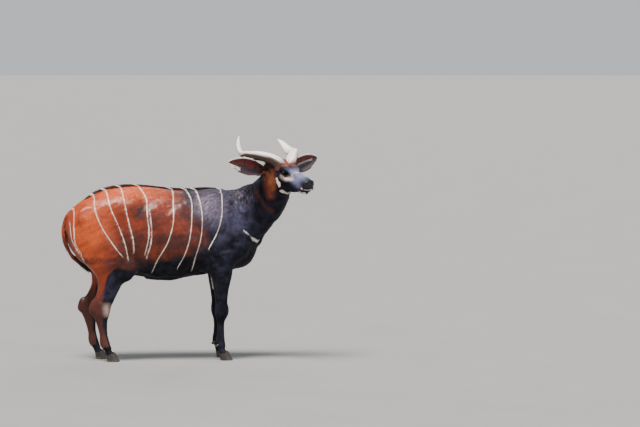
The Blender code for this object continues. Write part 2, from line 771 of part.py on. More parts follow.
def lock(name, root, aim, bend, broad, length, half_width, half_thick):
    """A flat tapered lock: it leaves its root along aim and ends along bend."""
    rings = []
    place = Vector(root)
    for step, size in ((0.0, 0.80), (0.34, 1.0), (0.34, 0.66), (0.32, 0.14)):
        share = len(rings) / 3
        way = Vector(aim).lerp(Vector(bend), share).normalized()
        place = place + way * length * step
        flat = (Vector(broad) - way * way.dot(Vector(broad))).normalized()
        thin = way.cross(flat)
        rings.append([
            place + flat * half_width * size,
            place + thin * half_thick * size,
            place - flat * half_width * size,
            place - thin * half_thick * size,
        ])
    return lofted(name, rings, bpy.data.collections["hair"])


def grow(obj):
    """Joins all loose hair to the node that it grows from and clears the hair away."""
    hair = bpy.data.collections["hair"]
    boolean(obj, hair, "UNION")
    for piece in list(hair.objects):
        bpy.data.objects.remove(piece)
    return largest_body(obj)


def crest(torso, chance):
    """A low crest of locks that lie back along the spine, highest over the withers and loins."""
    for i in range(CREST_LOCKS):
        share = i / (CREST_LOCKS - 1)
        x = CREST_FROM + (CREST_TO - CREST_FROM) * share
        y = 0.003 * (-1) ** i
        found, hit, _, _ = torso.ray_cast(Vector((x, y, 2)), Vector((0, 0, -1)))
        if not found:
            continue
        length = CREST_LENGTH * (0.62 + 0.38 * math.sin(math.pi * share)) * chance.uniform(0.85, 1.15)
        aim = (-0.55, chance.uniform(-0.10, 0.10), 0.80)
        bend = (-0.97, chance.uniform(-0.12, 0.12), 0.10)
        root = hit - Vector((0, 0, 0.012))
        lock(f"crest_{i}", root, aim, bend, (1, 0, 0), length, 0.014, 0.006)
    return grow(torso)


def tail_tuft(tail_node, chance):
    """A brush of locks round the end of the tail that hang down between the hocks."""
    x, z, _, _ = TAIL_KNOTS[-1]
    for i in range(TUFT_LOCKS):
        angle = 2 * math.pi * i / TUFT_LOCKS
        up = 0.026 * (i % 3)
        root = (x - up * 0.75, 0.004 * math.sin(angle), z + up * 0.62)
        aim = (0.55 + 0.25 * math.cos(angle), 0.16 * math.sin(angle), -0.75)
        bend = (0.16 + 0.16 * math.cos(angle), 0.10 * math.sin(angle), -1)
        length = TUFT_LENGTH * chance.uniform(0.85, 1.15) + up
        broad = (-math.sin(angle), math.cos(angle), 0)
        lock(f"tuft_{i}", root, aim, bend, broad, length, 0.011, 0.007)
    return grow(tail_node)


def parted(obj, name, region, wider):
    """Takes the flesh inside a region off an object and returns it as a node of its own."""
    piece = boolean(copied(obj, name), region, "INTERSECT")
    boolean(obj, wider, "DIFFERENCE")
    largest_body(obj)
    return largest_body(piece)


def regions(name, middle, normal, size, depth):
    """The box that parts the flesh at a plane, and the same box wider by the gap."""
    normal = Vector(normal).normalized()
    exact = slab(name, Vector(middle), normal, size, depth)
    wider = slab(name + "_gap", Vector(middle) + normal * GAP, normal, size + 2 * GAP, depth)
    return exact, wider


def make_feet(leg, end, side_name, front, back, middle_y):
    """Cuts a leg at its coronet and gives it two claws and two dewclaws."""
    side = SIDES[side_name]
    middle_x = (front + back) / 2
    tilt = Vector((-CORONET_RISE, 0, 1)).normalized()
    name = f"coronet_{end}_{side_name}"
    place = Vector((middle_x, side * middle_y, CORONET_HEIGHT))
    below, wider = regions(name, place, tilt, 0.4, 0.2)
    boolean(leg, wider, "DIFFERENCE")
    largest_body(leg)
    skin = grown(leg, f"{name}_skin", GAP)
    for place_name, way in (("inner", -side), ("outer", side)):
        at_y = side * middle_y + way * 0.0188
        hoof = claw(f"hoof_{end}_{side_name}_{place_name}", middle_x + 0.012, at_y, way)
        boolean(hoof, below, "INTERSECT")
        paint(hoof, "hoof_keratin", HOOF_COLOR, 0.45)
        at = (back - 0.008, side * middle_y + way * 0.020, 0.108)
        spur = dewclaw(f"dewclaw_{end}_{side_name}_{place_name}", at, way)
        boolean(spur, skin, "DIFFERENCE")
        largest_body(spur)
        paint(spur, "hoof_keratin", HOOF_COLOR, 0.45)


def paint(obj, name, color, roughness):
    """Gives an object a material, made once for all that share it, and smooth shading."""
    material = bpy.data.materials.get(name)
    if material is None:
        material = bpy.data.materials.new(name)
        material.use_nodes = True
        shader = material.node_tree.nodes["Principled BSDF"]
        shader.inputs["Base Color"].default_value = (*color, 1)
        shader.inputs["Roughness"].default_value = roughness
    obj.data.materials.clear()
    obj.data.materials.append(material)
    obj.data.shade_smooth()
    return obj


def main():
    """Builds the flesh, parts it, and sets horns, ears, eyes, tail and hooves on it."""
    for obj in list(bpy.data.objects):
        bpy.data.objects.remove(obj)
    for name in ("bongo", "cutters", "hair"):
        bpy.context.scene.collection.children.link(bpy.data.collections.new(name))
    frame = head_frame()
    torso = field_mesh("torso", animal_forms(), (-0.75, -0.62, 0.0), (1.1, 0.32, 1.5), BODY_VOXEL)
    thinned(torso, BODY_TRIANGLES)

    legs = {}
    for side_name, side in SIDES.items():
        for end, middle, size in (("front", 0.435, 0.37), ("hind", -0.460, 0.58)):
            place = (middle, side * (size / 2 + 0.002), LEG_TOP)
            region = regions(f"leg_{end}_{side_name}", place, (0, 0, 1), size, 0.7)
            name = ("foreleg_" if end == "front" else "hindleg_") + side_name
            legs[end, side_name] = parted(torso, name, *region)
    beyond = regions("neck_region", NECK_CUT[0], -Vector(NECK_CUT[1]), 1.4, 1.2)
    neck = parted(torso, "neck", *beyond)
    place = frame @ Vector(HEAD_CUT[0])
    normal = -(frame.to_3x3() @ Vector(HEAD_CUT[1]))
    head_region, wider = regions("head_region", place, normal, 1.2, 1.0)
    boolean(neck, wider, "DIFFERENCE")
    largest_body(neck)

    low, high = (-0.235, -0.145, -0.340), (0.290, 0.145, 0.125)
    head = field_mesh("head", animal_forms(), low, high, HEAD_VOXEL, frame, Mouth())
    thinned(head, HEAD_TRIANGLES)
    boolean(head, head_region, "INTERSECT")
    largest_body(head)
    head_skin = grown(head, "head_skin", GAP)
    neck_skin = grown(neck, "neck_skin", GAP)
    for side_name, side in SIDES.items():
        cutters = bpy.data.collections["cutters"]
        socket = eyeball(f"socket_{side_name}", side, frame, EYE_RADIUS + GAP, cutters)
        boolean(head, socket, "DIFFERENCE")
        boolean(head, lid_opening(f"lids_{side_name}", side, frame), "DIFFERENCE")
        eye = eyeball(f"eye_{side_name}", side, frame, EYE_RADIUS)
        paint(eye, "eye_dark", EYE_COLOR, 0.06)
        horned = boolean(horn(f"horn_{side_name}", side_name, frame), head_skin, "DIFFERENCE")
        paint(largest_body(horned), "horn_keratin", HORN_COLOR, 0.38)
        eared = boolean(ear(f"ear_{side_name}", side_name, frame), head_skin, "DIFFERENCE")
        boolean(eared, neck_skin, "DIFFERENCE")
        paint(largest_body(eared), "coat_dark", DARK_COLOR, 0.7)
    largest_body(head)

    chance = random.Random(11)
    torso_skin = grown(torso, "torso_skin", GAP)
    crest(torso, chance)
    hung = tail_tuft(tail("tail"), chance)
    boolean(hung, torso_skin, "DIFFERENCE")
    for side_name in SIDES:
        leg_skin = grown(legs["hind", side_name], f"thigh_skin_{side_name}", GAP)
        boolean(hung, leg_skin, "DIFFERENCE")
    paint(largest_body(hung), "coat_rust", RUST_COLOR, 0.6)
    for side_name, side in SIDES.items():
        step = HIND_STEP_BACK if side > 0 else 0.0
        make_feet(legs["front", side_name], "front", side_name, 0.470, 0.398, 0.116)
        make_feet(legs["hind", side_name], "hind", side_name, -0.331 - step, -0.404 - step, 0.120)
    for obj, slot, color in (
        (torso, "coat_rust", RUST_COLOR),
        (neck, "coat_dark", DARK_COLOR),
        (head, "coat_dark", DARK_COLOR),
        (legs["front", "right"], "coat_dark", DARK_COLOR),
        (legs["front", "left"], "coat_dark", DARK_COLOR),
        (legs["hind", "right"], "coat_rust", RUST_COLOR),
        (legs["hind", "left"], "coat_rust", RUST_COLOR),
    ):
        paint(obj, slot, color, 0.6)
    settle()


def settle():
    """Moves all so that the origin is under the middle of the animal and the soles are at 0."""
    parts = list(bpy.data.collections["bongo"].objects)
    corners = [Vector(vertex.co) for obj in parts for vertex in obj.data.vertices]
    low = Vector([min(corner[i] for corner in corners) for i in range(3)])
    high = Vector([max(corner[i] for corner in corners) for i in range(3)])
    shift = Vector((-(low.x + high.x) / 2, -(low.y + high.y) / 2, -low.z))
    for obj in parts:
        obj.data.transform(Matrix.Translation(shift))
    for obj in bpy.data.collections["cutters"].objects:
        obj.data.transform(Matrix.Translation(shift))
        obj.hide_render = True
        obj.display_type = "WIRE"
    bpy.data.collections["cutters"].hide_render = True
    bpy.data.collections.remove(bpy.data.collections["hair"])


main()
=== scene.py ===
"""Dresses the life-size bongo bull that stands and looks round over its right shoulder.

One skin stands for all the flesh: the same field of distances as the solids, read on a finer grid,
with folds, tendons, lids and lips added. Its coat, crest and tufts are solid mesh. Horns, ears,
eyes and claws are finer versions of the solids at the same places. Sizes are in metres.

Shapes and markings are given in the frame that the animal is drawn in: +X is the way the trunk
faces, +Y its left and +Z up. main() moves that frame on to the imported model's.
"""

import json
import math

import bmesh
import bpy
import numpy as np
import openvdb
from mathutils import Matrix, Vector

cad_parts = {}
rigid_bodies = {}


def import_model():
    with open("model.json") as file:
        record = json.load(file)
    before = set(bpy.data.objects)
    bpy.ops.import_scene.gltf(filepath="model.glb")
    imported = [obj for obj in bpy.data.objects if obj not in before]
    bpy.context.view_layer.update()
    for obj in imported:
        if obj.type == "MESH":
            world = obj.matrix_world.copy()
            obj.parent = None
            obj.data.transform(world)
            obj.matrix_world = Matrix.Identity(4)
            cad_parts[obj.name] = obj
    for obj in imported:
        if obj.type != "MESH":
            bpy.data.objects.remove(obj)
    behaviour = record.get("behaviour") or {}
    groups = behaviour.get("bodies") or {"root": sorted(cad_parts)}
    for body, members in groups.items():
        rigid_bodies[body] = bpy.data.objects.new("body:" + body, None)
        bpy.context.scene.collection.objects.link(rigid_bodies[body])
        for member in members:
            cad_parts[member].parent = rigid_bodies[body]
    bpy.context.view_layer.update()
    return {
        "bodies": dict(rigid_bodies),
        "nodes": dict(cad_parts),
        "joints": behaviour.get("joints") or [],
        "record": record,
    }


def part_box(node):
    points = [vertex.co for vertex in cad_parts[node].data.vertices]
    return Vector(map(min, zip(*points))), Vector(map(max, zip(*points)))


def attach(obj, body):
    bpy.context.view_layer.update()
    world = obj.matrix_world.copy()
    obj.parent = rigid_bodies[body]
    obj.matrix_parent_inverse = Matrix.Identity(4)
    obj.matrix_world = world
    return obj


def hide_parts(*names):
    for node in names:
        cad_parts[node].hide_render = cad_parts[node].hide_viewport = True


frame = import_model()
chance = np.random.default_rng(7)

# Sizes shared with the solids
FAR = 0.25
SIDES = {"right": -1.0, "left": 1.0}

# Where the head is and where it looks
HEAD_PLACE = (0.866, -0.335, 1.322)
HEAD_YAW = math.radians(-60)
HEAD_PITCH = math.radians(-15)
HEAD_ROLL = math.radians(1)
# The head's middle in its own frame, and how far from it the head reaches
HEAD_MIDDLE = (0.05, 0, -0.05)
HEAD_REACH = 0.30
EYE_PLACE = (0.025, 0.054, 0.030)
EYE_RADIUS = 0.0195
EYE_LOOK = (0.26, 0.95, 0.10)

# The left hind foot stands further back than the right one
HIND_STEP_BACK = 0.062
# The step back starts at the stifle and is whole this far below it
STIFLE_HEIGHT = 0.64
STEP_FADE = 0.27
# Where the hooves start
CORONET_HEIGHT = 0.050
CORONET_RISE = 0.30

# Horns, as knots in the head's frame on its left: x, y, z, half breadth and half thickness
HORN_KNOTS = [
    (-0.048, 0.042, 0.026, 0.041, 0.041),
    (-0.062, 0.056, 0.064, 0.042, 0.041),
    (-0.106, 0.096, 0.090, 0.037, 0.036),
    (-0.162, 0.148, 0.098, 0.034, 0.032),
    (-0.220, 0.185, 0.090, 0.033, 0.027),
    (-0.258, 0.194, 0.086, 0.032, 0.021),
    (-0.300, 0.190, 0.100, 0.027, 0.0155),
    (-0.350, 0.182, 0.130, 0.017, 0.0105),
    (-0.394, 0.174, 0.150, 0.003, 0.003),
]
# How far each tip stands above or below the knots, and how far the bend lies off them
HORN_LIFT = {"right": 0.018, "left": -0.018}
HORN_BEND = {"right": (-0.016, 0.014, -0.030), "left": (0.0, 0.0, 0.0)}

# Hair along the spine
CREST_FROM = -0.530
CREST_TO = 0.425

# Ears: root in the head's frame, way to the tip and way the hollow faces, both in the world
EAR_LENGTH = {"right": 0.312, "left": 0.310}
EAR_ROOT = {"right": (-0.130, 0.074, -0.030), "left": (-0.132, 0.068, -0.022)}
EAR_ALONG = {"right": (-0.955, -0.250, 0.268), "left": (0.82, 0.50, 0.30)}
EAR_ARCH = {"right": 0.008, "left": 0.004}
EAR_FACE = {"right": (-0.10, -1.0, 0.16), "left": (0.42, -0.90, 0.0)}
# Share of the length, half width, half the angle that the leaf wraps, thickness
EAR_SECTIONS = [
    (0.00, 0.021, 155, 0.007),
    (0.10, 0.024, 150, 0.007),
    (0.20, 0.034, 115, 0.006),
    (0.32, 0.044, 92, 0.005),
    (0.45, 0.055, 78, 0.005),
    (0.58, 0.056, 70, 0.005),
    (0.70, 0.051, 64, 0.005),
    (0.81, 0.041, 60, 0.005),
    (0.90, 0.029, 55, 0.005),
    (0.96, 0.018, 50, 0.005),
    (1.00, 0.007, 40, 0.004),
]

# The tail hangs in the cleft of the buttocks: x, z, half depth, half width
TAIL_KNOTS = [
    (-0.600, 1.060, 0.020, 0.028),
    (-0.644, 1.036, 0.021, 0.027),
    (-0.673, 0.986, 0.019, 0.025),
    (-0.684, 0.916, 0.016, 0.021),
    (-0.680, 0.848, 0.014, 0.018),
    (-0.660, 0.788, 0.013, 0.016),
    (-0.624, 0.734, 0.013, 0.015),
    (-0.576, 0.694, 0.014, 0.016),
]

# Middles of the claws, the slit between the lids and how far the skin lies inside the solids
FRONT_CLAW_X = 0.434
HIND_CLAW_X = -0.3675
FRONT_CLAW_Y = 0.116
HIND_CLAW_Y = 0.120
LID_LENGTH = 0.0180
LID_HEIGHT = 0.0112
COAT_DEPTH = 0.0015
SKIN_VOXEL = 0.0092

# White stripes from rump to shoulder: knots of height and place, then lowest and highest point
STRIPES = [
    ([(0.994, -0.652), (0.842, -0.630), (0.762, -0.586)], (0.762, 0.994)),
    ([(1.078, -0.618), (0.943, -0.624), (0.788, -0.599), (0.717, -0.554)], (0.717, 1.090)),
    (
        [(1.169, -0.475), (1.098, -0.481), (0.984, -0.447), (0.854, -0.370), (0.736, -0.278), (0.696, -0.239)],
        (0.748, 1.30),
    ),
    ([(1.216, -0.390), (1.098, -0.372), (0.964, -0.317), (0.840, -0.272), (0.722, -0.246)], (0.722, 1.30)),
    ([(1.228, -0.285), (1.111, -0.269), (0.969, -0.239), (0.866, -0.214), (0.774, -0.207)], (0.774, 1.30)),
    ([(1.222, -0.151), (1.160, -0.118), (1.058, -0.114), (0.891, -0.104), (0.761, -0.130)], (0.761, 1.30)),
    ([(1.078, -0.098), (0.943, -0.086), (0.839, -0.090), (0.734, -0.122)], (0.734, 1.078)),
    (
        [(1.209, 0.081), (1.108, 0.074), (0.968, 0.065), (0.839, 0.025), (0.714, -0.044), (0.624, -0.076)],
        (0.630, 1.30),
    ),
    (
        [(1.205, 0.180), (1.144, 0.201), (1.017, 0.201), (0.863, 0.182), (0.732, 0.138), (0.665, 0.102)],
        (0.655, 1.30),
    ),
    (
        [(1.204, 0.247), (1.119, 0.264), (1.004, 0.277), (0.861, 0.261), (0.730, 0.224), (0.635, 0.205)],
        (0.640, 1.30),
    ),
    ([(1.204, 0.422), (1.144, 0.419), (1.041, 0.415), (0.912, 0.381), (0.796, 0.321)], (0.796, 1.30)),
]

# The line where the rust coat turns to black: height and place
DARK_EDGE = [
    (1.25, 0.155),
    (1.20, 0.161),
    (1.13, 0.170),
    (1.06, 0.190),
    (1.01, 0.240),
    (0.954, 0.300),
    (0.884, 0.325),
    (0.813, 0.305),
    (0.778, 0.275),
    (0.745, 0.210),
    (0.722, 0.060),
    (0.700, -0.080),
    (0.670, -0.150),
    (0.620, -0.200),
]

# Places, reaches and weights of darker brown and of brighter orange on the trunk, in X and Z; the long orange
# band along the top of the back is a painted highlight
DEEP_SPOTS = [
    ((0.12, 1.00), (0.22, 0.20), 0.62),
    ((0.18, 0.88), (0.22, 0.14), 0.90),
    ((-0.175, 1.065), (0.075, 0.090), 1.15),
    ((-0.31, 0.80), (0.100, 0.090), 0.60),
    ((-0.33, 0.68), (0.090, 0.060), 1.00),
    ((-0.05, 0.95), (0.14, 0.17), 0.80),
    ((-0.13, 0.84), (0.10, 0.14), 0.70),
    ((-0.24, 0.92), (0.09, 0.16), 0.50),
    ((-0.66, 0.86), (0.030, 0.120), 0.50),
]
ORANGE_AND_LIT_TOP_SPOTS = [
    ((-0.50, 0.93), (0.12, 0.26), 0.90),
    ((-0.47, 0.72), (0.08, 0.12), 0.40),
    ((-0.08, 0.76), (0.12, 0.05), 0.45),
    # Painted highlight: brighter orange along the top of the back
    ((-0.25, 1.18), (0.28, 0.07), 0.90),
]

# The same for the head, in its own frame with both sides alike
HEAD_CHESTNUT = [
    ((-0.055, 0.0, 0.062), (0.050, 0.080, 0.032), 1.0),
    ((-0.015, 0.040, 0.062), (0.036, 0.030, 0.020), 0.9),
]
HEAD_AMBER = [
    ((-0.095, 0.070, -0.035), (0.050, 0.050, 0.075), 0.95),
    ((-0.075, 0.080, -0.085), (0.042, 0.050, 0.042), 0.85),
    ((-0.052, 0.078, -0.080), (0.036, 0.050, 0.060), 0.90),
    ((-0.090, 0.060, 0.000), (0.036, 0.050, 0.040), 0.80),
]
HEAD_GREY = [
    ((0.120, 0.020, 0.025), (0.110, 0.070, 0.055), 1.0),
    ((0.170, 0.040, -0.030), (0.070, 0.050, 0.040), 0.70),
]
# Marks along lines, in the head's frame with both sides alike: both ends, radius and soft edge
HEAD_CREAM = [
    ((0.022, 0.074, -0.010), (0.064, 0.060, -0.006), 0.021, 0.036),
    ((0.064, 0.060, -0.006), (0.104, 0.044, 0.006), 0.015, 0.036),
    ((0.084, 0.050, 0.004), (0.108, 0.010, 0.046), 0.008, 0.028),
]
# Brown on the neck, in the whole animal's frame: both ends, radius and weight
NECK_BROWN = [
    ((0.655, -0.170, 1.205), (0.760, -0.220, 1.060), 0.030, 0.40),
    ((0.830, -0.120, 1.190), (0.800, -0.060, 1.040), 0.030, 0.40),
    ((0.700, -0.240, 1.330), (0.745, -0.275, 1.170), 0.040, 0.50),
]
# White marks on the head, given as those of cream
HEAD_WHITE = [
    ((-0.020, 0.078, -0.034), (-0.010, 0.072, -0.056), 0.0070, 0.014),
    ((-0.010, 0.072, -0.056), (0.001, 0.062, -0.080), 0.0100, 0.014),
    ((0.014, 0.044, -0.122), (0.028, 0.014, -0.142), 0.0180, 0.014),
    ((0.222, 0.044, -0.034), (0.250, 0.028, -0.034), 0.0070, 0.009),
    ((0.250, 0.028, -0.034), (0.264, 0.000, -0.034), 0.0070, 0.009),
    ((0.190, 0.024, -0.074), (0.228, 0.012, -0.070), 0.0110, 0.018),
]
# White marks in the whole animal's frame, with both sides alike
BRISKET_WHITE = [
    ((0.572, 0.178, 0.922), (0.640, 0.132, 0.860), 0.005, 0.012),
    ((0.640, 0.132, 0.860), (0.684, 0.080, 0.834), 0.010, 0.014),
    ((0.684, 0.080, 0.834), (0.694, 0.062, 0.856), 0.006, 0.012),
]
BODY_WHITE = [
    ((0.368, 0.080, 0.585), (0.385, 0.083, 0.500), 0.014, 0.028),
    ((0.462, 0.100, 0.372), (0.460, 0.108, 0.330), 0.016, 0.020),
    ((0.452, 0.100, 0.090), (0.452, 0.104, 0.080), 0.011, 0.008),
    ((0.452, 0.132, 0.090), (0.452, 0.128, 0.080), 0.011, 0.008),
    ((-0.350, 0.104, 0.090), (-0.350, 0.108, 0.080), 0.011, 0.008),
    ((-0.350, 0.136, 0.090), (-0.350, 0.132, 0.080), 0.011, 0.008),
]
# Places, reaches and weights of a painted blue-grey highlight on the black coat, in X and Z: the sheen of
# glossy hair on shoulder, neck and gaskin
SHEEN_HIGHLIGHT_SPOTS = [
    ((0.40, 1.03), (0.12, 0.15), 0.90),
    ((0.55, 1.02), (0.11, 0.12), 1.00),
    ((0.30, 0.92), (0.08, 0.10), 0.50),
    ((-0.375, 0.52), (0.070, 0.090), 0.90),
    ((0.44, 0.70), (0.05, 0.10), 0.30),
]
# Pale hair that fades into the coat, given in the same way as the white marks
BODY_CREAM = [
    ((-0.396, 0.150, 0.395), (-0.390, 0.150, 0.345), 0.030, 0.050),
    ((-0.440, 0.155, 0.420), (-0.400, 0.150, 0.400), 0.006, 0.040),
]

FLESH = ("torso", "neck", "head", "tail", "foreleg_left", "foreleg_right", "hindleg_left", "hindleg_right")
COAT_NAMES = ("coat_head", "coat_neck", "coat_forelegs", "coat_hindlegs", "coat_left", "coat_right")
# How many tufts and hairs there are of each kind
TUFTS = 90000
CREST_HAIRS = 3400
BRUSH_HAIRS = 1100
TAIL_HAIRS = 1500
TEMPLE_HAIRS = 1300
FRINGE_HAIRS = 1700
STEM_HAIRS = 520
LASHES = 60
WHISKERS = 46

# Camera: metres to a pixel of the picture, turn and rise in degrees
PIXEL = 0.00707
CAMERA_TURN = -8
CAMERA_RISE = 3
# The picture's width and middle in pixels, the pixel of the frame's origin, and lens and sensor in mm
PICTURE_WIDTH = 640
PICTURE_MIDDLE = (320, 213.5)
ORIGIN_PIXEL = (160.5, 360)
LENS = 200
SENSOR = 36

# Colours
RUST_WARM = (0.290, 0.038, 0.0080)
RUST_DEEP = (0.180, 0.023, 0.0065)
# Brighter orange hair, also used for the painted highlight along the top of the back
RUST_ORANGE = (0.540, 0.085, 0.0160)
RUST_OCHRE = (0.200, 0.062, 0.0180)
RUST_BROWN = (0.036, 0.0080, 0.0060)
RUST_SHANK = (0.060, 0.014, 0.0090)
BLUE_BLACK = (0.0038, 0.0040, 0.0060)
BLUE_GREY = (0.0150, 0.0145, 0.0260)
# Painted highlight: the blue-grey sheen of the glossy black coat
SHEEN_HIGHLIGHT_GREY = (0.065, 0.060, 0.110)
# Painted highlight on the ridges of the neck's folds and the shoulder's creases
FOLD_SHEEN_GREY = (0.26, 0.20, 0.26)
MUZZLE_GREY = (0.120, 0.122, 0.200)
CREAM_HAIR = (0.52, 0.40, 0.34)
WHITE_HAIR = (0.78, 0.70, 0.63)
STRIPE_WHITE = (0.80, 0.68, 0.58)
INK = (0.0045, 0.0045, 0.006)
# Horn: pale toward the tip and as a painted highlight on the top; dark brown beneath, partly painted shade
HORN_PALE_AND_HIGHLIGHT = (0.70, 0.61, 0.57)
HORN_BROWN_AND_SHADE = (0.046, 0.020, 0.013)
HORN_BASE = (0.13, 0.052, 0.034)
HORN_TIP = (0.80, 0.74, 0.68)
EAR_RED = (0.170, 0.012, 0.0085)
EAR_DARK = (0.018, 0.011, 0.016)
EAR_BROWN = (0.20, 0.050, 0.025)
EAR_OUTER = (0.045, 0.022, 0.020)
IRIS_BROWN = (0.050, 0.020, 0.009)
IRIS_DARK = (0.010, 0.006, 0.0045)
EYE_WHITE = (0.08, 0.05, 0.04)
HOOF_DARK = (0.012, 0.011, 0.011)
HOOF_BROWN = (0.040, 0.030, 0.024)
HOOF_DUST = (0.17, 0.14, 0.11)
# Half the breadth of a white stripe
STRIPE_HALF = 0.0028


def unit(rows):
    """Rows of vectors, each at length one."""
    return rows / np.linalg.norm(rows, axis=1).clip(1e-6)[:, None]


def columns(*values):
    """Values as the columns of one table; a lone number fills its column."""
    return np.stack(np.broadcast_arrays(*values), 1)


def trails(side):
    """How far back the hind foot of a side stands."""
    return HIND_STEP_BACK if side > 0 else 0.0


def smooth_rows(rows, samples=160):
    """Rows of a table as a dense, smooth table: the first column is the place along the loft."""
    rows = np.array(sorted(rows), float)
    at, values = rows[:, 0], rows[:, 1:]
    slopes = np.gradient(values, at, axis=0)
    dense = np.linspace(at[0], at[-1], samples)
    i = np.clip(np.searchsorted(at, dense) - 1, 0, len(at) - 2)
    step = (at[i + 1] - at[i])[:, None]
    t = ((dense - at[i])[:, None]) / step
    start = (2 * t**3 - 3 * t**2 + 1) * values[i] + (t**3 - 2 * t**2 + t) * step * slopes[i]
    end = (3 * t**2 - 2 * t**3) * values[i + 1] + (t**3 - t**2) * step * slopes[i + 1]
    return dense, start + end


def section_distance(across, along, half_across, half_along, power):
    """Distance to a superellipse, measured on the line from its middle."""
    reach = np.hypot(across, along) + 1e-6
    ratio = (np.abs(across) / half_across) ** power + (np.abs(along) / half_along) ** power
    return reach - reach / np.maximum(ratio ** (1 / power), 1e-4)


class Loft:
    """Sections along one axis: place, low edge, high edge, middle across, half width, power."""

    def __init__(self, rows, axes, blend, widest=0.5):
        self.place, self.values = smooth_rows(rows)
        self.axes = axes
        self.blend = blend
        self.widest = widest
        s, a, b = axes
        self.low, self.high = np.zeros(3), np.zeros(3)
        self.low[s], self.high[s] = self.place[0], self.place[-1]
        self.low[b], self.high[b] = self.values[:, 0].min(), self.values[:, 1].max()
        self.low[a] = (self.values[:, 2] - self.values[:, 3]).min()
        self.high[a] = (self.values[:, 2] + self.values[:, 3]).max()

    def distance(self, points):
        s, a, b = (points[:, i] for i in self.axes)
        low, high, middle, half, power = (
            np.interp(s, self.place, column) for column in self.values.T
        )
        centre = low + (high - low) * self.widest
        along = b - centre
        half_along = np.where(along > 0, high - centre, centre - low)
        side = section_distance(a - middle, along, half, half_along, power)
        past = np.maximum(self.place[0] - s, s - self.place[-1])
        return np.maximum(side, past)


class Path:
    """Sections along a curve in space, each with its middle, half height, half width and side."""

    def __init__(self, rows, blend, power=2.0):
        rows = [(i, *row) for i, row in enumerate(rows)]
        _, dense = smooth_rows(rows, samples=60)
        self.middle, self.sizes = dense[:, :3], dense[:, 3:5]
        self.side = unit(dense[:, 5:8])
        self.blend = blend
        self.power = power
        reach = self.sizes.max(axis=1)[:, None]
        self.low, self.high = (self.middle - reach).min(0), (self.middle + reach).max(0)

    def distance(self, points):
        nearest = np.full(len(points), np.inf)
        place = np.zeros(len(points))
        for i, (a, b) in enumerate(zip(self.middle[:-1], self.middle[1:])):
            run = b - a
            t = np.clip(((points - a) @ run) / (run @ run), 0, 1)
            off = ((points - a - t[:, None] * run) ** 2).sum(1)
            closer = off < nearest
            nearest = np.where(closer, off, nearest)
            place = np.where(closer, i + t, place)
        steps = np.arange(len(self.middle))
        middle, side = (
            np.stack([np.interp(place, steps, column) for column in table.T], 1)
            for table in (self.middle, self.side)
        )
        tall, wide = (np.interp(place, steps, column) for column in self.sizes.T)
        offset = points - middle
        across = (offset * side).sum(1)
        along = np.sqrt(np.maximum((offset**2).sum(1) - across**2, 0))
        return section_distance(across, along, wide, tall, self.power)


class Lump:
    """An ellipsoid, turned by a matrix whose columns are its own axes."""

    def __init__(self, middle, radii, blend, turn=None, carve=False):
        self.middle, self.radii = np.array(middle, float), np.array(radii, float)
        self.turn = np.eye(3) if turn is None else np.array(turn)
        self.blend = blend
        self.carve = carve
        reach = np.abs(self.turn) @ self.radii
        self.low, self.high = self.middle - reach, self.middle + reach

    def distance(self, points):
        local = (points - self.middle) @ self.turn
        k = np.linalg.norm(local / self.radii, axis=1) + 1e-6
        return k * (k - 1) / np.linalg.norm(local / self.radii**2, axis=1).clip(1e-6)


class InFrame:
    """A form modelled in the head's own frame, read at points of the whole animal."""

    def __init__(self, form, frame):
        self.form = form
        self.turn = np.array(frame.to_3x3())
        self.place = np.array(frame.translation)
        self.blend = form.blend
        self.carve = getattr(form, "carve", False)
        corners = np.array(np.meshgrid(*zip(form.low, form.high))).reshape(3, -1).T
        moved = corners @ self.turn.T + self.place
        self.low, self.high = moved.min(0), moved.max(0)

    def distance(self, points):
        return self.form.distance((points - self.place) @ self.turn)


def joined(so_far, form, points):
    """The field with one more form run into it, or carved out of it."""
    new = form.distance(points)
    if getattr(form, "carve", False):
        share = np.clip(0.5 - 0.5 * (so_far + new) / form.blend, 0, 1)
        return so_far * (1 - share) - new * share + form.blend * share * (1 - share)
    share = np.clip(0.5 + 0.5 * (so_far - new) / form.blend, 0, 1)
    return so_far * (1 - share) + new * share - form.blend * share * (1 - share)


def head_frame():
    """The head's frame: +X to the nose, +Y to the left ear, +Z up, origin between the eyes."""
    turn = (
        Matrix.Rotation(HEAD_YAW, 4, "Z")
        @ Matrix.Rotation(-HEAD_PITCH, 4, "Y")
        @ Matrix.Rotation(HEAD_ROLL, 4, "X")
    )
    return Matrix.Translation(HEAD_PLACE) @ turn


def turned(yaw=0.0, pitch=0.0, roll=0.0):
    """A rotation given in degrees, as rows of numbers."""
    angles = [math.radians(v) for v in (yaw, pitch, roll)]
    turn = (
        Matrix.Rotation(angles[0], 3, "Z")
        @ Matrix.Rotation(-angles[1], 3, "Y")
        @ Matrix.Rotation(angles[2], 3, "X")
    )
    return [list(row) for row in turn]


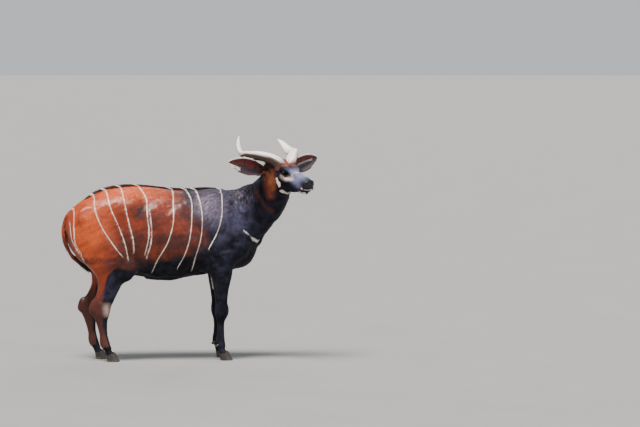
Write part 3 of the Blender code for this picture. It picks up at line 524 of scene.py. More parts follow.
def trunk_forms():
    """Barrel, shoulders, haunches and brisket."""
    barrel = Loft(
        [
            (-0.660, 0.900, 1.000, 0, 0.050, 2.0),
            (-0.640, 0.820, 1.050, 0, 0.105, 2.0),
            (-0.590, 0.750, 1.094, 0, 0.155, 2.1),
            (-0.500, 0.680, 1.156, 0, 0.190, 2.2),
            (-0.380, 0.640, 1.206, 0, 0.208, 2.2),
            (-0.240, 0.606, 1.228, 0, 0.226, 2.2),
            (-0.090, 0.588, 1.224, 0, 0.242, 2.2),
            (0.060, 0.580, 1.208, 0, 0.247, 2.2),
            (0.200, 0.590, 1.200, 0, 0.236, 2.2),
            (0.340, 0.610, 1.206, 0, 0.208, 2.1),
            (0.460, 0.634, 1.192, 0, 0.178, 2.0),
            (0.560, 0.680, 1.150, 0, 0.145, 2.0),
            (0.630, 0.750, 1.080, 0, 0.110, 2.0),
            (0.690, 0.830, 0.980, 0, 0.050, 2.0),
        ],
        (0, 1, 2),
        0.05,
        widest=0.44,
    )
    forms = [barrel]
    for side in SIDES.values():
        forms += [
            Lump((0.420, side * 0.120, 0.960), (0.150, 0.085, 0.240), 0.06, turned(0, 22)),
            Lump((0.500, side * 0.120, 0.820), (0.120, 0.082, 0.120), 0.06),
            Lump((0.360, side * 0.142, 0.770), (0.110, 0.066, 0.130), 0.05),
            Lump((-0.440, side * 0.112, 0.950), (0.200, 0.100, 0.190), 0.08),
            Lump((-0.270, side * 0.130, 1.090), (0.085, 0.060, 0.070), 0.08),
            Lump((-0.590, side * 0.075, 0.930), (0.070, 0.072, 0.120), 0.05),
        ]
    forms.append(Lump((0.560, 0, 0.760), (0.110, 0.095, 0.110), 0.07))
    forms.append(Lump((0.020, 0, 0.588), (0.120, 0.030, 0.022), 0.04))
    return forms


def fore_leg_rows(side):
    """Height, back, front, middle and half width of the fore leg, from shoulder to coronet."""
    rows = [
        (0.760, 0.310, 0.520, 0.142, 0.066),
        (0.680, 0.322, 0.508, 0.140, 0.066),
        (0.620, 0.340, 0.494, 0.137, 0.062),
        (0.550, 0.356, 0.478, 0.132, 0.054),
        (0.470, 0.368, 0.466, 0.127, 0.046),
        (0.410, 0.375, 0.461, 0.124, 0.041),
        (0.360, 0.374, 0.462, 0.122, 0.042),
        (0.320, 0.376, 0.457, 0.120, 0.039),
        (0.280, 0.386, 0.444, 0.118, 0.029),
        (0.190, 0.388, 0.440, 0.117, 0.025),
        (0.140, 0.380, 0.444, 0.116, 0.031),
        (0.110, 0.380, 0.448, 0.116, 0.034),
        (0.080, 0.396, 0.452, 0.116, 0.031),
        (0.055, 0.402, 0.466, 0.116, 0.037),
        (0.040, 0.408, 0.470, 0.116, 0.034),
    ]
    return [(z, back, front, side * y, half, 2.2) for z, back, front, y, half in rows]


def hind_leg_rows(side):
    """The same for the hind leg, from haunch to coronet; the left one trails behind."""
    rows = [
        (0.980, -0.590, -0.260, 0.115, 0.080),
        (0.880, -0.635, -0.230, 0.122, 0.094),
        (0.800, -0.628, -0.205, 0.128, 0.100),
        (0.725, -0.585, -0.200, 0.132, 0.098),
        (0.670, -0.528, -0.212, 0.135, 0.090),
        (0.626, -0.486, -0.234, 0.137, 0.080),
        (0.583, -0.464, -0.262, 0.137, 0.069),
        (0.540, -0.456, -0.288, 0.135, 0.060),
        (0.485, -0.464, -0.316, 0.132, 0.050),
        (0.430, -0.486, -0.342, 0.129, 0.041),
        (0.390, -0.506, -0.360, 0.127, 0.036),
        (0.365, -0.509, -0.366, 0.126, 0.037),
        (0.330, -0.492, -0.374, 0.125, 0.036),
        (0.290, -0.474, -0.386, 0.123, 0.030),
        (0.245, -0.459, -0.389, 0.122, 0.026),
        (0.180, -0.444, -0.384, 0.121, 0.0245),
        (0.140, -0.444, -0.373, 0.120, 0.031),
        (0.110, -0.436, -0.364, 0.120, 0.034),
        (0.080, -0.412, -0.352, 0.120, 0.031),
        (0.055, -0.400, -0.334, 0.120, 0.037),
        (0.040, -0.394, -0.330, 0.120, 0.034),
    ]
    step = trails(side)
    share = [step * min(1, max(0, (STIFLE_HEIGHT - row[0]) / STEP_FADE)) for row in rows]
    return [
        (z, back - s, front - s, side * y, half, 2.2)
        for (z, back, front, y, half), s in zip(rows, share)
    ]


def leg_forms():
    """Four legs with the bony points that show at knee, hock and fetlock."""
    forms = []
    for side in SIDES.values():
        step = trails(side)
        forms.append(Loft(fore_leg_rows(side), (2, 1, 0), 0.045))
        forms.append(Loft(hind_leg_rows(side), (2, 1, 0), 0.05))
        forms.append(Lump((0.330, side * 0.145, 0.672), (0.045, 0.035, 0.045), 0.05))
        forms.append(
            Lump((-0.248, side * 0.150, 0.650), (0.060, 0.050, 0.080), 0.05, turned(0, -20))
        )
        forms.append(
            Lump((-0.492 - step, side * 0.126, 0.392), (0.020, 0.019, 0.050), 0.03, turned(0, -12))
        )
        forms.append(Lump((0.425, side * 0.121, 0.350), (0.042, 0.040, 0.050), 0.03))
    cleft = Lump((-0.700, 0, 0.840), (0.110, 0.034, 0.180), 0.04, carve=True)
    groin = Lump((-0.480, 0, 0.560), (0.200, 0.045, 0.130), 0.06, carve=True)
    return [*forms, cleft, groin]


def neck_forms():
    """The neck bends to the right and rises to the back of the skull."""
    side_to_side = [(0, 1, 0), (0.08, 1, 0), (0.35, 0.94, 0), (0.60, 0.80, 0), (0.74, 0.67, 0)]
    rows = [
        (0.400, 0.000, 0.930, 0.255, 0.150, *side_to_side[0]),
        (0.545, -0.008, 0.985, 0.222, 0.138, *side_to_side[1]),
        (0.660, -0.045, 1.065, 0.180, 0.120, *side_to_side[2]),
        (0.744, -0.114, 1.140, 0.153, 0.108, *side_to_side[3]),
        (0.792, -0.190, 1.232, 0.134, 0.094, *side_to_side[4]),
        (0.818, -0.240, 1.315, 0.098, 0.078, *side_to_side[4]),
    ]
    return [Path(rows, 0.06, power=2.1)]


def head_forms():
    """The head in its own frame: skull and muzzle, brows, cheeks, lips, chin and nostrils."""
    skull = Loft(
        [
            (-0.165, -0.060, 0.010, 0, 0.030, 2.0),
            (-0.145, -0.100, 0.038, 0, 0.060, 2.1),
            (-0.110, -0.125, 0.056, 0, 0.072, 2.2),
            (-0.070, -0.140, 0.064, 0, 0.076, 2.3),
            (-0.025, -0.138, 0.063, 0, 0.075, 2.3),
            (0.020, -0.126, 0.057, 0, 0.066, 2.3),
            (0.060, -0.112, 0.050, 0, 0.055, 2.3),
            (0.100, -0.100, 0.045, 0, 0.047, 2.3),
            (0.140, -0.090, 0.041, 0, 0.042, 2.3),
            (0.180, -0.080, 0.039, 0, 0.040, 2.4),
            (0.215, -0.071, 0.036, 0, 0.040, 2.3),
            (0.240, -0.060, 0.029, 0, 0.036, 2.1),
            (0.256, -0.047, 0.018, 0, 0.027, 2.0),
            (0.265, -0.034, 0.006, 0, 0.013, 2.0),
        ],
        (0, 1, 2),
        0.05,
        widest=0.62,
    )
    forms = [skull]
    x, y, z = EYE_PLACE
    for side in SIDES.values():
        nostril = turned(-48 * side, -22)
        forms += [
            Lump((x - 0.008, side * (y - 0.010), z - 0.002), (0.050, 0.027, 0.036), 0.030),
            Lump((x - 0.006, side * (y - 0.004), z + 0.019), (0.034, 0.014, 0.012), 0.016),
            Lump((-0.068, side * 0.047, -0.088), (0.066, 0.027, 0.062), 0.03),
            Lump((0.070, side * 0.046, -0.026), (0.085, 0.013, 0.020), 0.03),
            Lump((0.215, side * 0.026, -0.024), (0.040, 0.018, 0.024), 0.018),
            Lump((0.240, side * 0.026, 0.008), (0.022, 0.014, 0.016), 0.014),
            Lump((-0.060, side * 0.040, 0.052), (0.045, 0.036, 0.030), 0.025),
            Lump((-0.104, side * 0.070, 0.020), (0.030, 0.028, 0.032), 0.03),
            Lump((0.086, side * 0.054, 0.012), (0.070, 0.012, 0.018), 0.022, carve=True),
            Lump((0.258, side * 0.027, 0.006), (0.016, 0.0055, 0.0075), 0.004, nostril, carve=True),
        ]
    forms.append(Lump((0.206, 0, -0.069), (0.036, 0.027, 0.012), 0.014))
    return forms


def eyelid_forms():
    """Lids, as a low mound round each eye that its ball and the slit are cut from."""
    x, y, z = EYE_PLACE
    return [
        Lump((x, side * y, z), (0.0245, 0.0225, 0.0215), 0.008) for side in SIDES.values()
    ]


class Coronet:
    """Cuts a leg off where its hoof starts, at a plane that rises towards the toe."""

    carve = True
    blend = 0.004

    def __init__(self, middle_x, side):
        self.middle_x = middle_x
        self.low = np.array([middle_x - 0.11, min(side * 0.02, side * 0.22), -0.02])
        self.high = np.array([middle_x + 0.11, max(side * 0.02, side * 0.22), 0.10])

    def distance(self, points):
        rise = CORONET_RISE * (points[:, 0] - self.middle_x)
        return (points[:, 2] - CORONET_HEIGHT - rise) / math.hypot(1, CORONET_RISE)


def ear_root(side_name, frame):
    """Where an ear leaves the head, in the frame of the whole animal."""
    x, y, z = EAR_ROOT[side_name]
    return frame @ Vector((x, SIDES[side_name] * y, z))


def skin_forms():
    """The flesh with the tail, the stems of the ears and the finer muscles and hollows."""
    frame = head_frame()
    forms = trunk_forms() + neck_forms() + leg_forms()
    for side in SIDES.values():
        step = trails(side)
        forms += [
            Lump((-0.512, side * 0.185, 1.010), (0.070, 0.020, 0.090), 0.05, turned(0, 35)),
            Lump((-0.350, side * 0.245, 0.985), (0.050, 0.018, 0.110), 0.05, carve=True),
            Lump((-0.452 - step * 0.7, side * 0.176, 0.470), (0.010, 0.012, 0.055), 0.012, carve=True),
            Lump((-0.452 - step * 0.7, side * 0.088, 0.470), (0.010, 0.012, 0.055), 0.012, carve=True),
            Lump((0.300, side * 0.225, 0.905), (0.020, 0.016, 0.120), 0.04, turned(0, 18), carve=True),
            Lump((0.470, side * 0.200, 0.985), (0.016, 0.010, 0.120), 0.03, turned(0, 24), carve=True),
        ]
    head = [InFrame(form, frame) for form in head_forms() + eyelid_forms()]
    for side_name, side in SIDES.items():
        root = ear_root(side_name, frame)
        along = Vector(EAR_ALONG[side_name]).normalized()
        turn = np.array(along.to_track_quat("X", "Z").to_matrix())
        head.append(Lump(root + along * 0.012, (0.042, 0.027, 0.027), 0.022, turn))
    tail = [(x, 0, z, deep, wide, 0, 1, 0) for x, z, deep, wide in TAIL_KNOTS]
    coronets = [
        Coronet(middle - (trails(side) if hind else 0.0), side)
        for side in SIDES.values()
        for middle, hind in ((FRONT_CLAW_X, False), (HIND_CLAW_X, True))
    ]
    return forms + head + [Path(tail, 0.008)] + coronets


def field_at(points, forms):
    """The field at loose points."""
    values = np.full(len(points), FAR)
    for form in forms:
        margin = form.blend + 0.02
        near = ((points > form.low - margin) & (points < form.high + margin)).all(1)
        if near.any():
            values[near] = joined(values[near], form, points[near])
    return values


def slope_at(points, forms, step=0.0010):
    """The field and its slope, from four points round each one."""
    ways = np.array([(1, -1, -1), (-1, -1, 1), (-1, 1, -1), (1, 1, 1)], float)
    values = np.stack([field_at(points + way * step, forms) for way in ways], 1)
    return values.mean(1), values @ ways / (4 * step)


def settled(points, forms, level, rounds):
    """Moves points on to the surface where the field is at a level, and gives its normals."""
    for _ in range(rounds):
        value, slope = slope_at(points, forms)
        steep = (slope**2).sum(1).clip(0.3)
        shift = slope * ((value - level) / steep)[:, None]
        reach = np.linalg.norm(shift, axis=1)[:, None]
        points = points - shift * np.minimum(1, 0.005 / reach.clip(1e-9))
    return points, unit(slope)


def rough_surface(forms, low, high, voxel):
    """The surface where the field is zero, as points and four-sided faces."""
    axes = [np.arange(a, b + voxel, voxel) for a, b in zip(low, high)]
    shape = [len(axis) for axis in axes]
    values = np.full(shape, FAR)
    for form in forms:
        margin = form.blend + 3 * voxel
        first = [max(0, int((v - margin - a) / voxel)) for v, a in zip(form.low, low)]
        last = [int((v + margin - a) / voxel) + 2 for v, a in zip(form.high, low)]
        part = tuple(slice(f, max(f, min(n, e))) for f, n, e in zip(first, shape, last))
        block = values[part]
        grid = np.meshgrid(*(axis[s] for axis, s in zip(axes, part)), indexing="ij")
        points = np.stack([g.ravel() for g in grid], 1)
        values[part] = joined(block.ravel(), form, points).reshape(block.shape)
    volume = openvdb.FloatGrid(FAR)
    volume.copyFromArray(values.astype(np.float32))
    volume.transform = openvdb.createLinearTransform(voxelSize=voxel)
    points, _, quads = volume.convertToPolygons(isovalue=0.0, adaptivity=0.0)
    return points + np.array(low), quads[:, ::-1]


def smooth(value, low, high):
    """0 below low, 1 above high and a smooth step between."""
    t = np.clip((value - low) / (high - low), 0, 1)
    return t * t * (3 - 2 * t)


def in_head(points):
    """Points of the animal in the head's frame."""
    frame = np.array(head_frame())
    return (points - frame[:3, 3]) @ frame[:3, :3]


def in_half_head(points):
    """The same with the right half of the head laid over the left one."""
    h = in_head(points)
    h[:, 1] = np.abs(h[:, 1])
    return h


def on_face(h):
    """Whether places in the head's frame belong to the head."""
    return (h[:, 0] > -0.17) & (np.linalg.norm(h - HEAD_MIDDLE, axis=1) < HEAD_REACH)


def positions(mesh):
    """A mesh's points as rows."""
    values = np.empty(len(mesh.vertices) * 3, np.float32)
    mesh.vertices.foreach_get("co", values)
    return values.reshape(-1, 3).astype(float)


def refine(made, inside):
    """Halves the faces whose points all pass a test."""
    points = np.array([vertex.co for vertex in made.verts])
    chosen = inside(points)
    edges = [e for e in made.edges if chosen[e.verts[0].index] and chosen[e.verts[1].index]]
    bmesh.ops.subdivide_edges(made, edges=edges, cuts=1, use_grid_fill=True)
    made.verts.index_update()


def near_head(points):
    h = in_head(points)
    return (h[:, 0] > -0.19) & (h[:, 2] > -0.20) & (np.abs(h[:, 1]) < 0.13) & (h[:, 0] < 0.32)


def near_face(points):
    h = in_half_head(points)
    eye = np.linalg.norm(h - EYE_PLACE, axis=1) < 0.042
    muzzle = (h[:, 0] > 0.135) & (np.abs(h[:, 2] + 0.020) < 0.085) & (h[:, 1] < 0.08)
    return (eye | muzzle) & (h[:, 0] < 0.32)


def near_eye(points):
    h = in_half_head(points)
    eye = np.linalg.norm(h - EYE_PLACE, axis=1) < 0.031
    nostril = np.linalg.norm(h - (0.256, 0.027, 0.006), axis=1) < 0.022
    return eye | nostril


def near_folds(points):
    """The near side of the neck's bend, where the skin creases."""
    x, y, z = points.T
    return (x > 0.44) & (x < 0.70) & (z > 0.98) & (z < 1.27) & (y < 0.00)


def almond(u, v):
    """1 on the rim of the slit between the lids, less inside; the inner corner droops."""
    v = v + 0.0016 * (u / LID_LENGTH) ** 2 * np.sign(u) * (u > 0)
    half = LID_HEIGHT * np.clip(1 - (u / (LID_LENGTH * 1.02)) ** 2, 0.0, 1) ** 0.62 + 0.0006
    return np.maximum(np.abs(v) / half, np.abs(u) / LID_LENGTH)


def open_lids(made):
    """Cuts the slit of each eye, snaps its rim and turns it in to the ball."""
    frame = head_frame()
    for side in SIDES.values():
        place = eye_frame(side, frame)
        back = place.inverted()
        local = {v: back @ v.co for v in made.verts if (v.co - place.translation).length < 0.03}
        inside = {
            v for v, p in local.items() if p.z > 0.004 and almond(p.x, p.y) < 0.98
        }
        doomed = {f for v in inside for f in v.link_faces}
        rim = {v for f in doomed for v in f.verts} - inside
        bmesh.ops.delete(made, geom=list(inside), context="VERTS")
        edges = [e for v in rim for e in v.link_edges if e.is_boundary and e.other_vert(v) in rim]
        for vertex in rim:
            p = local[vertex]
            grow = 1 / max(almond(p.x, p.y), 1e-6)
            for _ in range(6):
                grow /= max(almond(p.x * grow, p.y * grow), 1e-6) ** 0.7
            vertex.co = place @ Vector((p.x * grow, p.y * grow, p.z + 0.0004))
        for share, radius in ((0.985, 0.55), (0.96, 0.0), (0.90, -1.0)):
            grown = bmesh.ops.extrude_edge_only(made, edges=list(set(edges)))["geom"]
            edges = [g for g in grown if isinstance(g, bmesh.types.BMEdge)]
            for vertex in [g for g in grown if isinstance(g, bmesh.types.BMVert)]:
                p = back @ vertex.co
                flat = Vector((p.x * share, p.y * share, 0))
                ball = math.sqrt(max(EYE_RADIUS**2 - flat.length_squared, 1e-8))
                height = ball + (p.z - ball) * radius if radius > 0 else ball + radius * 0.004
                vertex.co = place @ Vector((flat.x, flat.y, height + 0.0004 * (radius >= 0)))
            edges = [e for e in edges if e.is_boundary]


def eye_frame(side, frame):
    """The frame of an eye, whose Z axis looks out of the head."""
    x, y, z = EYE_PLACE
    look = frame.to_3x3() @ Vector((EYE_LOOK[0], side * EYE_LOOK[1], EYE_LOOK[2]))
    ahead = frame.to_3x3() @ Vector((1, 0, -0.10))
    up = look.normalized()
    long = (ahead - up * ahead.dot(up)).normalized()
    turn = Matrix((long, up.cross(long), up)).transposed().to_4x4()
    return Matrix.Translation(frame @ Vector((x, side * y, z))) @ turn


def folds(points, normals):
    """How far the skin is raised or sunk by folds, tendons, the mouth and the face's relief."""
    x, y, z = points.T
    raised = np.zeros(len(points))
    wave = wobble(points, 0.11, 3) * 0.0030 + wobble(points, 0.045, 5) * 0.0010
    raised += wave * smooth(z, 0.45, 0.62)

    # Folds across the neck where it bends, and broad ones over the shoulder
    near = smooth(-y, -0.02, 0.08)
    along = (points - (0.45, -0.02, 1.10)) @ np.array((0.83, -0.30, 0.30))
    drift = wobble(points, 0.11, 8)
    bend = np.exp(-(((x - 0.535) / 0.080) ** 2 + ((z - 1.10) / 0.11) ** 2)) * near
    raised += 0.0030 * bend * np.sin(along / 0.0052 + drift * 2.2)
    throat = np.exp(-(((x - 0.68) / 0.060) ** 2 + ((z - 1.16) / 0.10) ** 2)) * near
    raised += 0.0030 * throat * np.sin((along + 0.2 * z) / 0.0075 + drift * 1.6)
    raised += 0.0026 * smooth(-x, 0.25, 0.45) * wobble(points, 0.16, 12) * smooth(z, 0.62, 0.75)

    # The groove between the bones and the sinews of the shank
    for side in SIDES.values():
        for rows, reach, depth, share, low, high in (
            (fore_leg_rows(side), 0.10, 0.0026, 0.42, 0.17, 0.27),
            (hind_leg_rows(side), 0.10, 0.0030, 0.40, 0.17, 0.31),
        ):
            height, table = smooth_rows([row[:4] for row in rows])
            back, front = (np.interp(z, height, table[:, i]) for i in (0, 1))
            t = (x - back) / (front - back).clip(0.02)
            window = smooth(z, low - 0.03, low + 0.02) * smooth(-z, -high - 0.03, -high + 0.02)
            here = (np.abs(x - (back + front) / 2) < 0.12) & (y * side > 0.02)
            flank = np.abs(normals[:, 1])
            raised -= depth * window * np.exp(-(((t - share) / reach) ** 2)) * here * flank

    # The face: the line between the lips, the wrinkles of the muzzle and the vein on the cheek
    h = in_head(points)
    hx, hy, hz = h[:, 0], np.abs(h[:, 1]), h[:, 2]
    line = -0.046 - 0.10 * np.maximum(0.215 - hx, 0) + 0.25 * np.maximum(hx - 0.235, 0)
    lips = smooth(hx, 0.143, 0.160) * (hz > -0.11) * (hz < 0.0) * (hx < 0.3)
    raised -= 0.0052 * lips * np.exp(-(((hz - line) / 0.0020) ** 2))
    raised += 0.0012 * lips * np.exp(-(((hz - line - 0.008) / 0.0050) ** 2))
    raised += 0.0010 * lips * np.exp(-(((hz - line + 0.007) / 0.0040) ** 2))
    middle = np.exp(-((hy / 0.0018) ** 2)) * smooth(hx, 0.248, 0.256) * (hz > -0.05) * (hx < 0.3)
    raised -= 0.0022 * middle * (np.abs(hz) < 0.06)
    about = np.linalg.norm((h - (EYE_PLACE[0], 0, EYE_PLACE[2]))[:, ::2], axis=1)
    near = np.exp(-(((about - 0.031) / 0.0035) ** 2)) * (hy > 0.035) * (hx > -0.08) * (hx < 0.12)
    raised -= 0.0014 * near
    vein = np.exp(-(((hz + 0.028 + 0.30 * (hx - 0.09)) / 0.0035) ** 2))
    raised += 0.0010 * vein * smooth(hx, 0.03, 0.06) * smooth(-hx, -0.16, -0.12) * (hy > 0.02)
    return raised


def wobble(points, size, seed):
    """Smooth noise between about -1 and 1, from a few turned waves."""
    draw = np.random.default_rng(seed)
    total = np.zeros(len(points))
    for _ in range(9):
        way = draw.normal(size=3)
        way *= draw.uniform(0.7, 1.6) / np.linalg.norm(way)
        total += np.sin(points @ way * 2 * math.pi / size + draw.uniform(0, 6.28))
    return total / 3.2


def stripe_lines(height, on_left):
    """Where each white stripe crosses a height, from the rump to the shoulder."""
    lines = []
    for i, (knots, _) in enumerate(STRIPES):
        at, table = smooth_rows(knots)
        place = np.interp(height, at, table[:, 0])
        drift = 0.016 * np.sin(height * 9 + i * 2.4) + 0.010 * math.sin(i * 4.1)
        place = place + on_left * drift * smooth(-height, -1.19, -1.05)
        least = 0.012 + 0.022 * on_left
        lines.append(place if i == 0 else np.maximum(place, lines[-1] + least))
    return np.stack(lines, 1)


def stripe_phase(x, height, on_left):
    """A number that grows along the trunk and is whole on the middle line of each stripe."""
    lines = stripe_lines(height, on_left)
    gaps = np.diff(lines, axis=1)
    gaps = np.concatenate([gaps[:, :1], gaps, gaps[:, -1:]], 1)
    spread = (gaps[:, :-1] + gaps[:, 1:]) / 2
    count = lines.shape[1]
    i = np.clip((x[:, None] >= lines).sum(1) - 1, 0, count - 2)
    rows = np.arange(len(x))
    gap = gaps[rows, i + 1]
    t = (x - lines[rows, i]) / gap
    start, end = gap / spread[rows, i], gap / spread[rows, i + 1]
    inner = (t**3 - 2 * t**2 + t) * start + 3 * t**2 - 2 * t**3 + (t**3 - t**2) * end
    inner = np.where(t < 0, t * start, np.where(t > 1, 1 + (t - 1) * end, inner))
    return i + inner


def blob(points, middle, radii):
    """A soft spot of markings, 1 at its middle."""
    return np.exp(-(((points - np.array(middle)) / np.array(radii)) ** 2).sum(1))


def streak(points, start, end, radius, soft):
    """A mark along a line: above 0.5 within the radius."""
    start, end = np.array(start), np.array(end)
    run = end - start
    t = np.clip(((points - start) @ run) / (run @ run), 0, 1)
    off = np.linalg.norm(points - start - t[:, None] * run, axis=1)
    return np.clip(0.5 + (radius - off) / soft, 0, 1)


def strongest(points, spots):
    """The most that any soft spot of a table gives at each point."""
    total = np.zeros(len(points))
    for middle, radii, weight in spots:
        total = np.maximum(total, weight * blob(points, middle, radii))
    return total


def marks_along(points, lines):
    """The most that any mark of a table gives at each point."""
    total = np.zeros(len(points))
    for start, end, radius, soft in lines:
        total = np.maximum(total, streak(points, start, end, radius, soft))
    return total


def stripe_marks(points, normals):
    """Phase, spacing and reach of the white stripes at each point."""
    x, y, z = points.T
    on_left = (y > 0).astype(float)
    phase = stripe_phase(x, z, on_left)
    step = 0.002
    over = (stripe_phase(x + step, z, on_left) - stripe_phase(x - step, z, on_left)) / (2 * step)
    rise = (stripe_phase(x, z + step, on_left) - stripe_phase(x, z - step, on_left)) / (2 * step)
    slope = columns(over, 0.0, rise)
    slope -= normals * (slope * normals).sum(1)[:, None]
    steep = np.linalg.norm(slope, axis=1)
    crossing = steep / np.hypot(over, rise).clip(1e-6)
    ends = np.array([end for _, end in STRIPES])
    nearest = np.clip(np.round(phase), 0, len(STRIPES) - 1).astype(int)
    reach = smooth(z, ends[nearest, 0] - 0.014, ends[nearest, 0] + 0.014)
    reach *= smooth(-z, -ends[nearest, 1] - 0.014, -ends[nearest, 1] + 0.014)
    reach *= (phase > -0.5) & (phase < len(STRIPES) - 0.5)
    reach *= smooth(crossing, 0.28, 0.48)
    return {"phase": phase, "spacing": 1 / steep.clip(1.5), "reach": reach}


def markings(points, normals):
    """The numbers that the coat's colours are mixed by, at each point."""
    x, y, z = points.T
    on_left = (y > 0).astype(float)
    heights, table = smooth_rows(DARK_EDGE)
    edge = table[:, 0]
    lean = (np.interp(z + 0.015, heights, edge) - np.interp(z - 0.015, heights, edge)) / 0.03
    off = (x - np.interp(z, heights, edge)) / np.sqrt(1 + lean**2)
    off += 0.012 * wobble(points, 0.17, 21) + 0.006 * wobble(points, 0.06, 22)
    dark = smooth(off, -0.055, 0.050)
    deep = 0.95 * smooth(off, -0.19, -0.015)
    flat = np.stack([x, z], 1)
    deep = np.maximum(deep, strongest(flat, DEEP_SPOTS))
    # Brighter orange hair on haunch and flank, and a painted highlight along the top of the back
    orange = strongest(flat, ORANGE_AND_LIT_TOP_SPOTS)
    side = smooth(-z, -1.05, -0.88) * smooth(x, -0.44, -0.24)
    deep = np.maximum(deep, 0.88 * side * (1 - 0.45 * orange))

    # The hind leg: black down the front of the gaskin, brown behind, and a dark shank in front
    behind = x < -0.10
    step_back = HIND_STEP_BACK * on_left * np.clip((STIFLE_HEIGHT - z) / STEP_FADE, 0, 1)
    lx = x + step_back + 0.006 * wobble(points, 0.07, 23)
    at = (0.05, 0.25, 0.42, 0.50, 0.58, 0.62, 0.68)
    front = np.interp(z, at, (-0.375, -0.425, -0.425, -0.425, -0.412, -0.388, -0.330))
    gaskin = smooth(lx - front, -0.014, 0.020) * smooth(z, 0.398, 0.435)
    gaskin *= smooth(-z - 0.30 * (lx + 0.33), -0.720, -0.640)
    shank = smooth(lx - front, -0.014, 0.022) * smooth(-z, -0.345, -0.30)
    foot = smooth(-z, -0.125, -0.085)
    dark = np.where(behind, np.maximum.reduce([dark, gaskin, shank * 0.85, foot]), dark)
    shin = behind * smooth(-z, -0.60, -0.40)

    # Neck and head
    h = in_half_head(points)
    on_head = smooth(h[:, 0], -0.20, -0.14) * (np.linalg.norm(h - HEAD_MIDDLE, axis=1) < HEAD_REACH)
    chestnut = strongest(h, HEAD_CHESTNUT)
    for start, end, radius, weight in NECK_BROWN:
        chestnut = np.maximum(chestnut, weight * streak(points, start, end, radius, 0.05))
    amber = strongest(h, HEAD_AMBER)
    dark = dark * (1 - np.clip(chestnut * 1.25, 0, 1))
    dark = dark * (1 - np.clip(amber * 1.35, 0, 1))
    bare = smooth(x, 0.35, 0.55)
    deep = deep * (1 - bare) + bare * (0.85 - 0.25 * on_head - 0.25 * amber)
    orange = np.maximum(orange * (1 - bare), 0.25 * amber)
    grey = strongest(h, HEAD_GREY) * on_head

    loose = 0.0028 * smooth(-h[:, 0], -0.14, -0.08)[:, None]
    uneven = h + loose * np.stack([wobble(points, 0.030, seed) for seed in (31, 32, 33)], 1)
    white = marks_along(uneven, HEAD_WHITE) * on_head
    cream = marks_along(h, HEAD_CREAM) * on_head
    both = np.stack([x, np.abs(y), z], 1)
    both[:, 0] += step_back * behind
    cream = np.maximum(cream, 0.70 * marks_along(both, BODY_CREAM))
    white = np.maximum(white, marks_along(both, BRISKET_WHITE + BODY_WHITE))
    # The neck bends to the right, so on the left the brisket's mark is laid on from the front
    left_brisket = (x > 0.50) & (y > 0)
    seen = [(start[1:], end[1:], radius, soft) for start, end, radius, soft in BRISKET_WHITE]
    white = np.maximum(white, marks_along(both[:, 1:], seen) * left_brisket)
    nose = smooth(h[:, 0], 0.236, 0.250) * smooth(h[:, 2], -0.032, -0.018) * on_head
    nose = np.maximum(nose, blob(h, (0.254, 0.027, 0.006), (0.022, 0.018, 0.018)) * on_head)
    about = np.linalg.norm((h - EYE_PLACE) / (1.30, 1, 1), axis=1)
    eye_rim = smooth(-about, -0.032, -0.024) * on_head
    tear = streak(h, (0.040, 0.050, 0.024), (0.078, 0.046, 0.010), 0.007, 0.010) * on_head
    ink = np.maximum(eye_rim, np.maximum(tear * 0.9, nose))
    # Where the neck folds and the shoulder creases: for their bump and for the painted highlight on their
    # ridges
    fold = blob(flat, (0.535, 1.150), (0.070, 0.075)) + 0.5 * blob(flat, (0.64, 1.16), (0.07, 0.08))
    blade = blob(flat, (0.31, 1.08), (0.130, 0.110))
    # Painted highlight: blue-grey sheen on the upper parts of the black coat
    painted_sheen = strongest(np.stack([lx, z], 1), SHEEN_HIGHLIGHT_SPOTS)
    return {
        **stripe_marks(points, normals),
        "dark": dark,
        "deep": deep,
        "orange": orange,
        "ochre": amber,
        "painted_sheen": painted_sheen,
        "shin": shin,
        "fold": fold * (1 - on_head),
        "blade": blade,
        "grey": grey,
        "cream": cream,
        "white": np.clip(white - 1.2 * nose, 0, 1),
        "ink": ink,
        "nose": nose,
    }


def lie_of_coat(points, normals):
    """The way that the hair lies: back and down the trunk, down neck and legs, back on the head."""
    x, _, z = points.T
    h = in_head(points)
    frame = np.array(head_frame())[:3, :3]
    way = np.tile(np.array([-0.62, 0.0, -0.70]), (len(points), 1))
    way[:, 0] -= 0.5 * smooth(z, 1.10, 1.22)
    low = smooth(-z, -0.68, -0.52)[:, None]
    way = way * (1 - low) + np.array([-0.10, 0.0, -1.0]) * low
    neck = (smooth(x, 0.50, 0.66) * smooth(z, 0.80, 0.92))[:, None]
    way = way * (1 - neck) + np.array([-0.62, 0.40, -0.85]) * neck
    on_head = smooth(h[:, 0], -0.16, -0.06) * (np.linalg.norm(h - (0.05, 0, -0.03), axis=1) < 0.27)
    back = -frame[:, 0] - 0.35 * frame[:, 2]
    way = way * (1 - on_head[:, None]) + back * on_head[:, None]
    way -= normals * (way * normals).sum(1)[:, None]
    return unit(way)


def placed(name, data):
    """A new object in the scene."""
    obj = bpy.data.objects.new(name, data)
    bpy.context.scene.collection.objects.link(obj)
    return obj


def finished(made, name):
    """Turns a bmesh into a smooth object."""
    mesh = bpy.data.meshes.new(name)
    made.to_mesh(mesh)
    made.free()
    mesh.shade_smooth()
    return placed(name, mesh)


def new_mesh(name, points, corners, totals):
    """A mesh object from points, its faces' corners in one row and each face's count of them."""
    mesh = bpy.data.meshes.new(name)
    mesh.vertices.add(len(points))
    mesh.vertices.foreach_set("co", np.asarray(points, np.float32).ravel())
    mesh.loops.add(len(corners))
    mesh.loops.foreach_set("vertex_index", np.asarray(corners, np.int32))
    mesh.polygons.add(len(totals))
    starts = np.concatenate([[0], np.cumsum(totals)[:-1]])
    mesh.polygons.foreach_set("loop_start", starts.astype(np.int32))
    mesh.update(calc_edges=True)
    mesh.shade_smooth()
    return placed(name, mesh)


def give(obj, values):
    """Writes numbers on a mesh's points, by name."""
    for name, numbers in values.items():
        layer = obj.data.attributes.new(name, "FLOAT", "POINT")
        layer.data.foreach_set("value", np.asarray(numbers, np.float32))


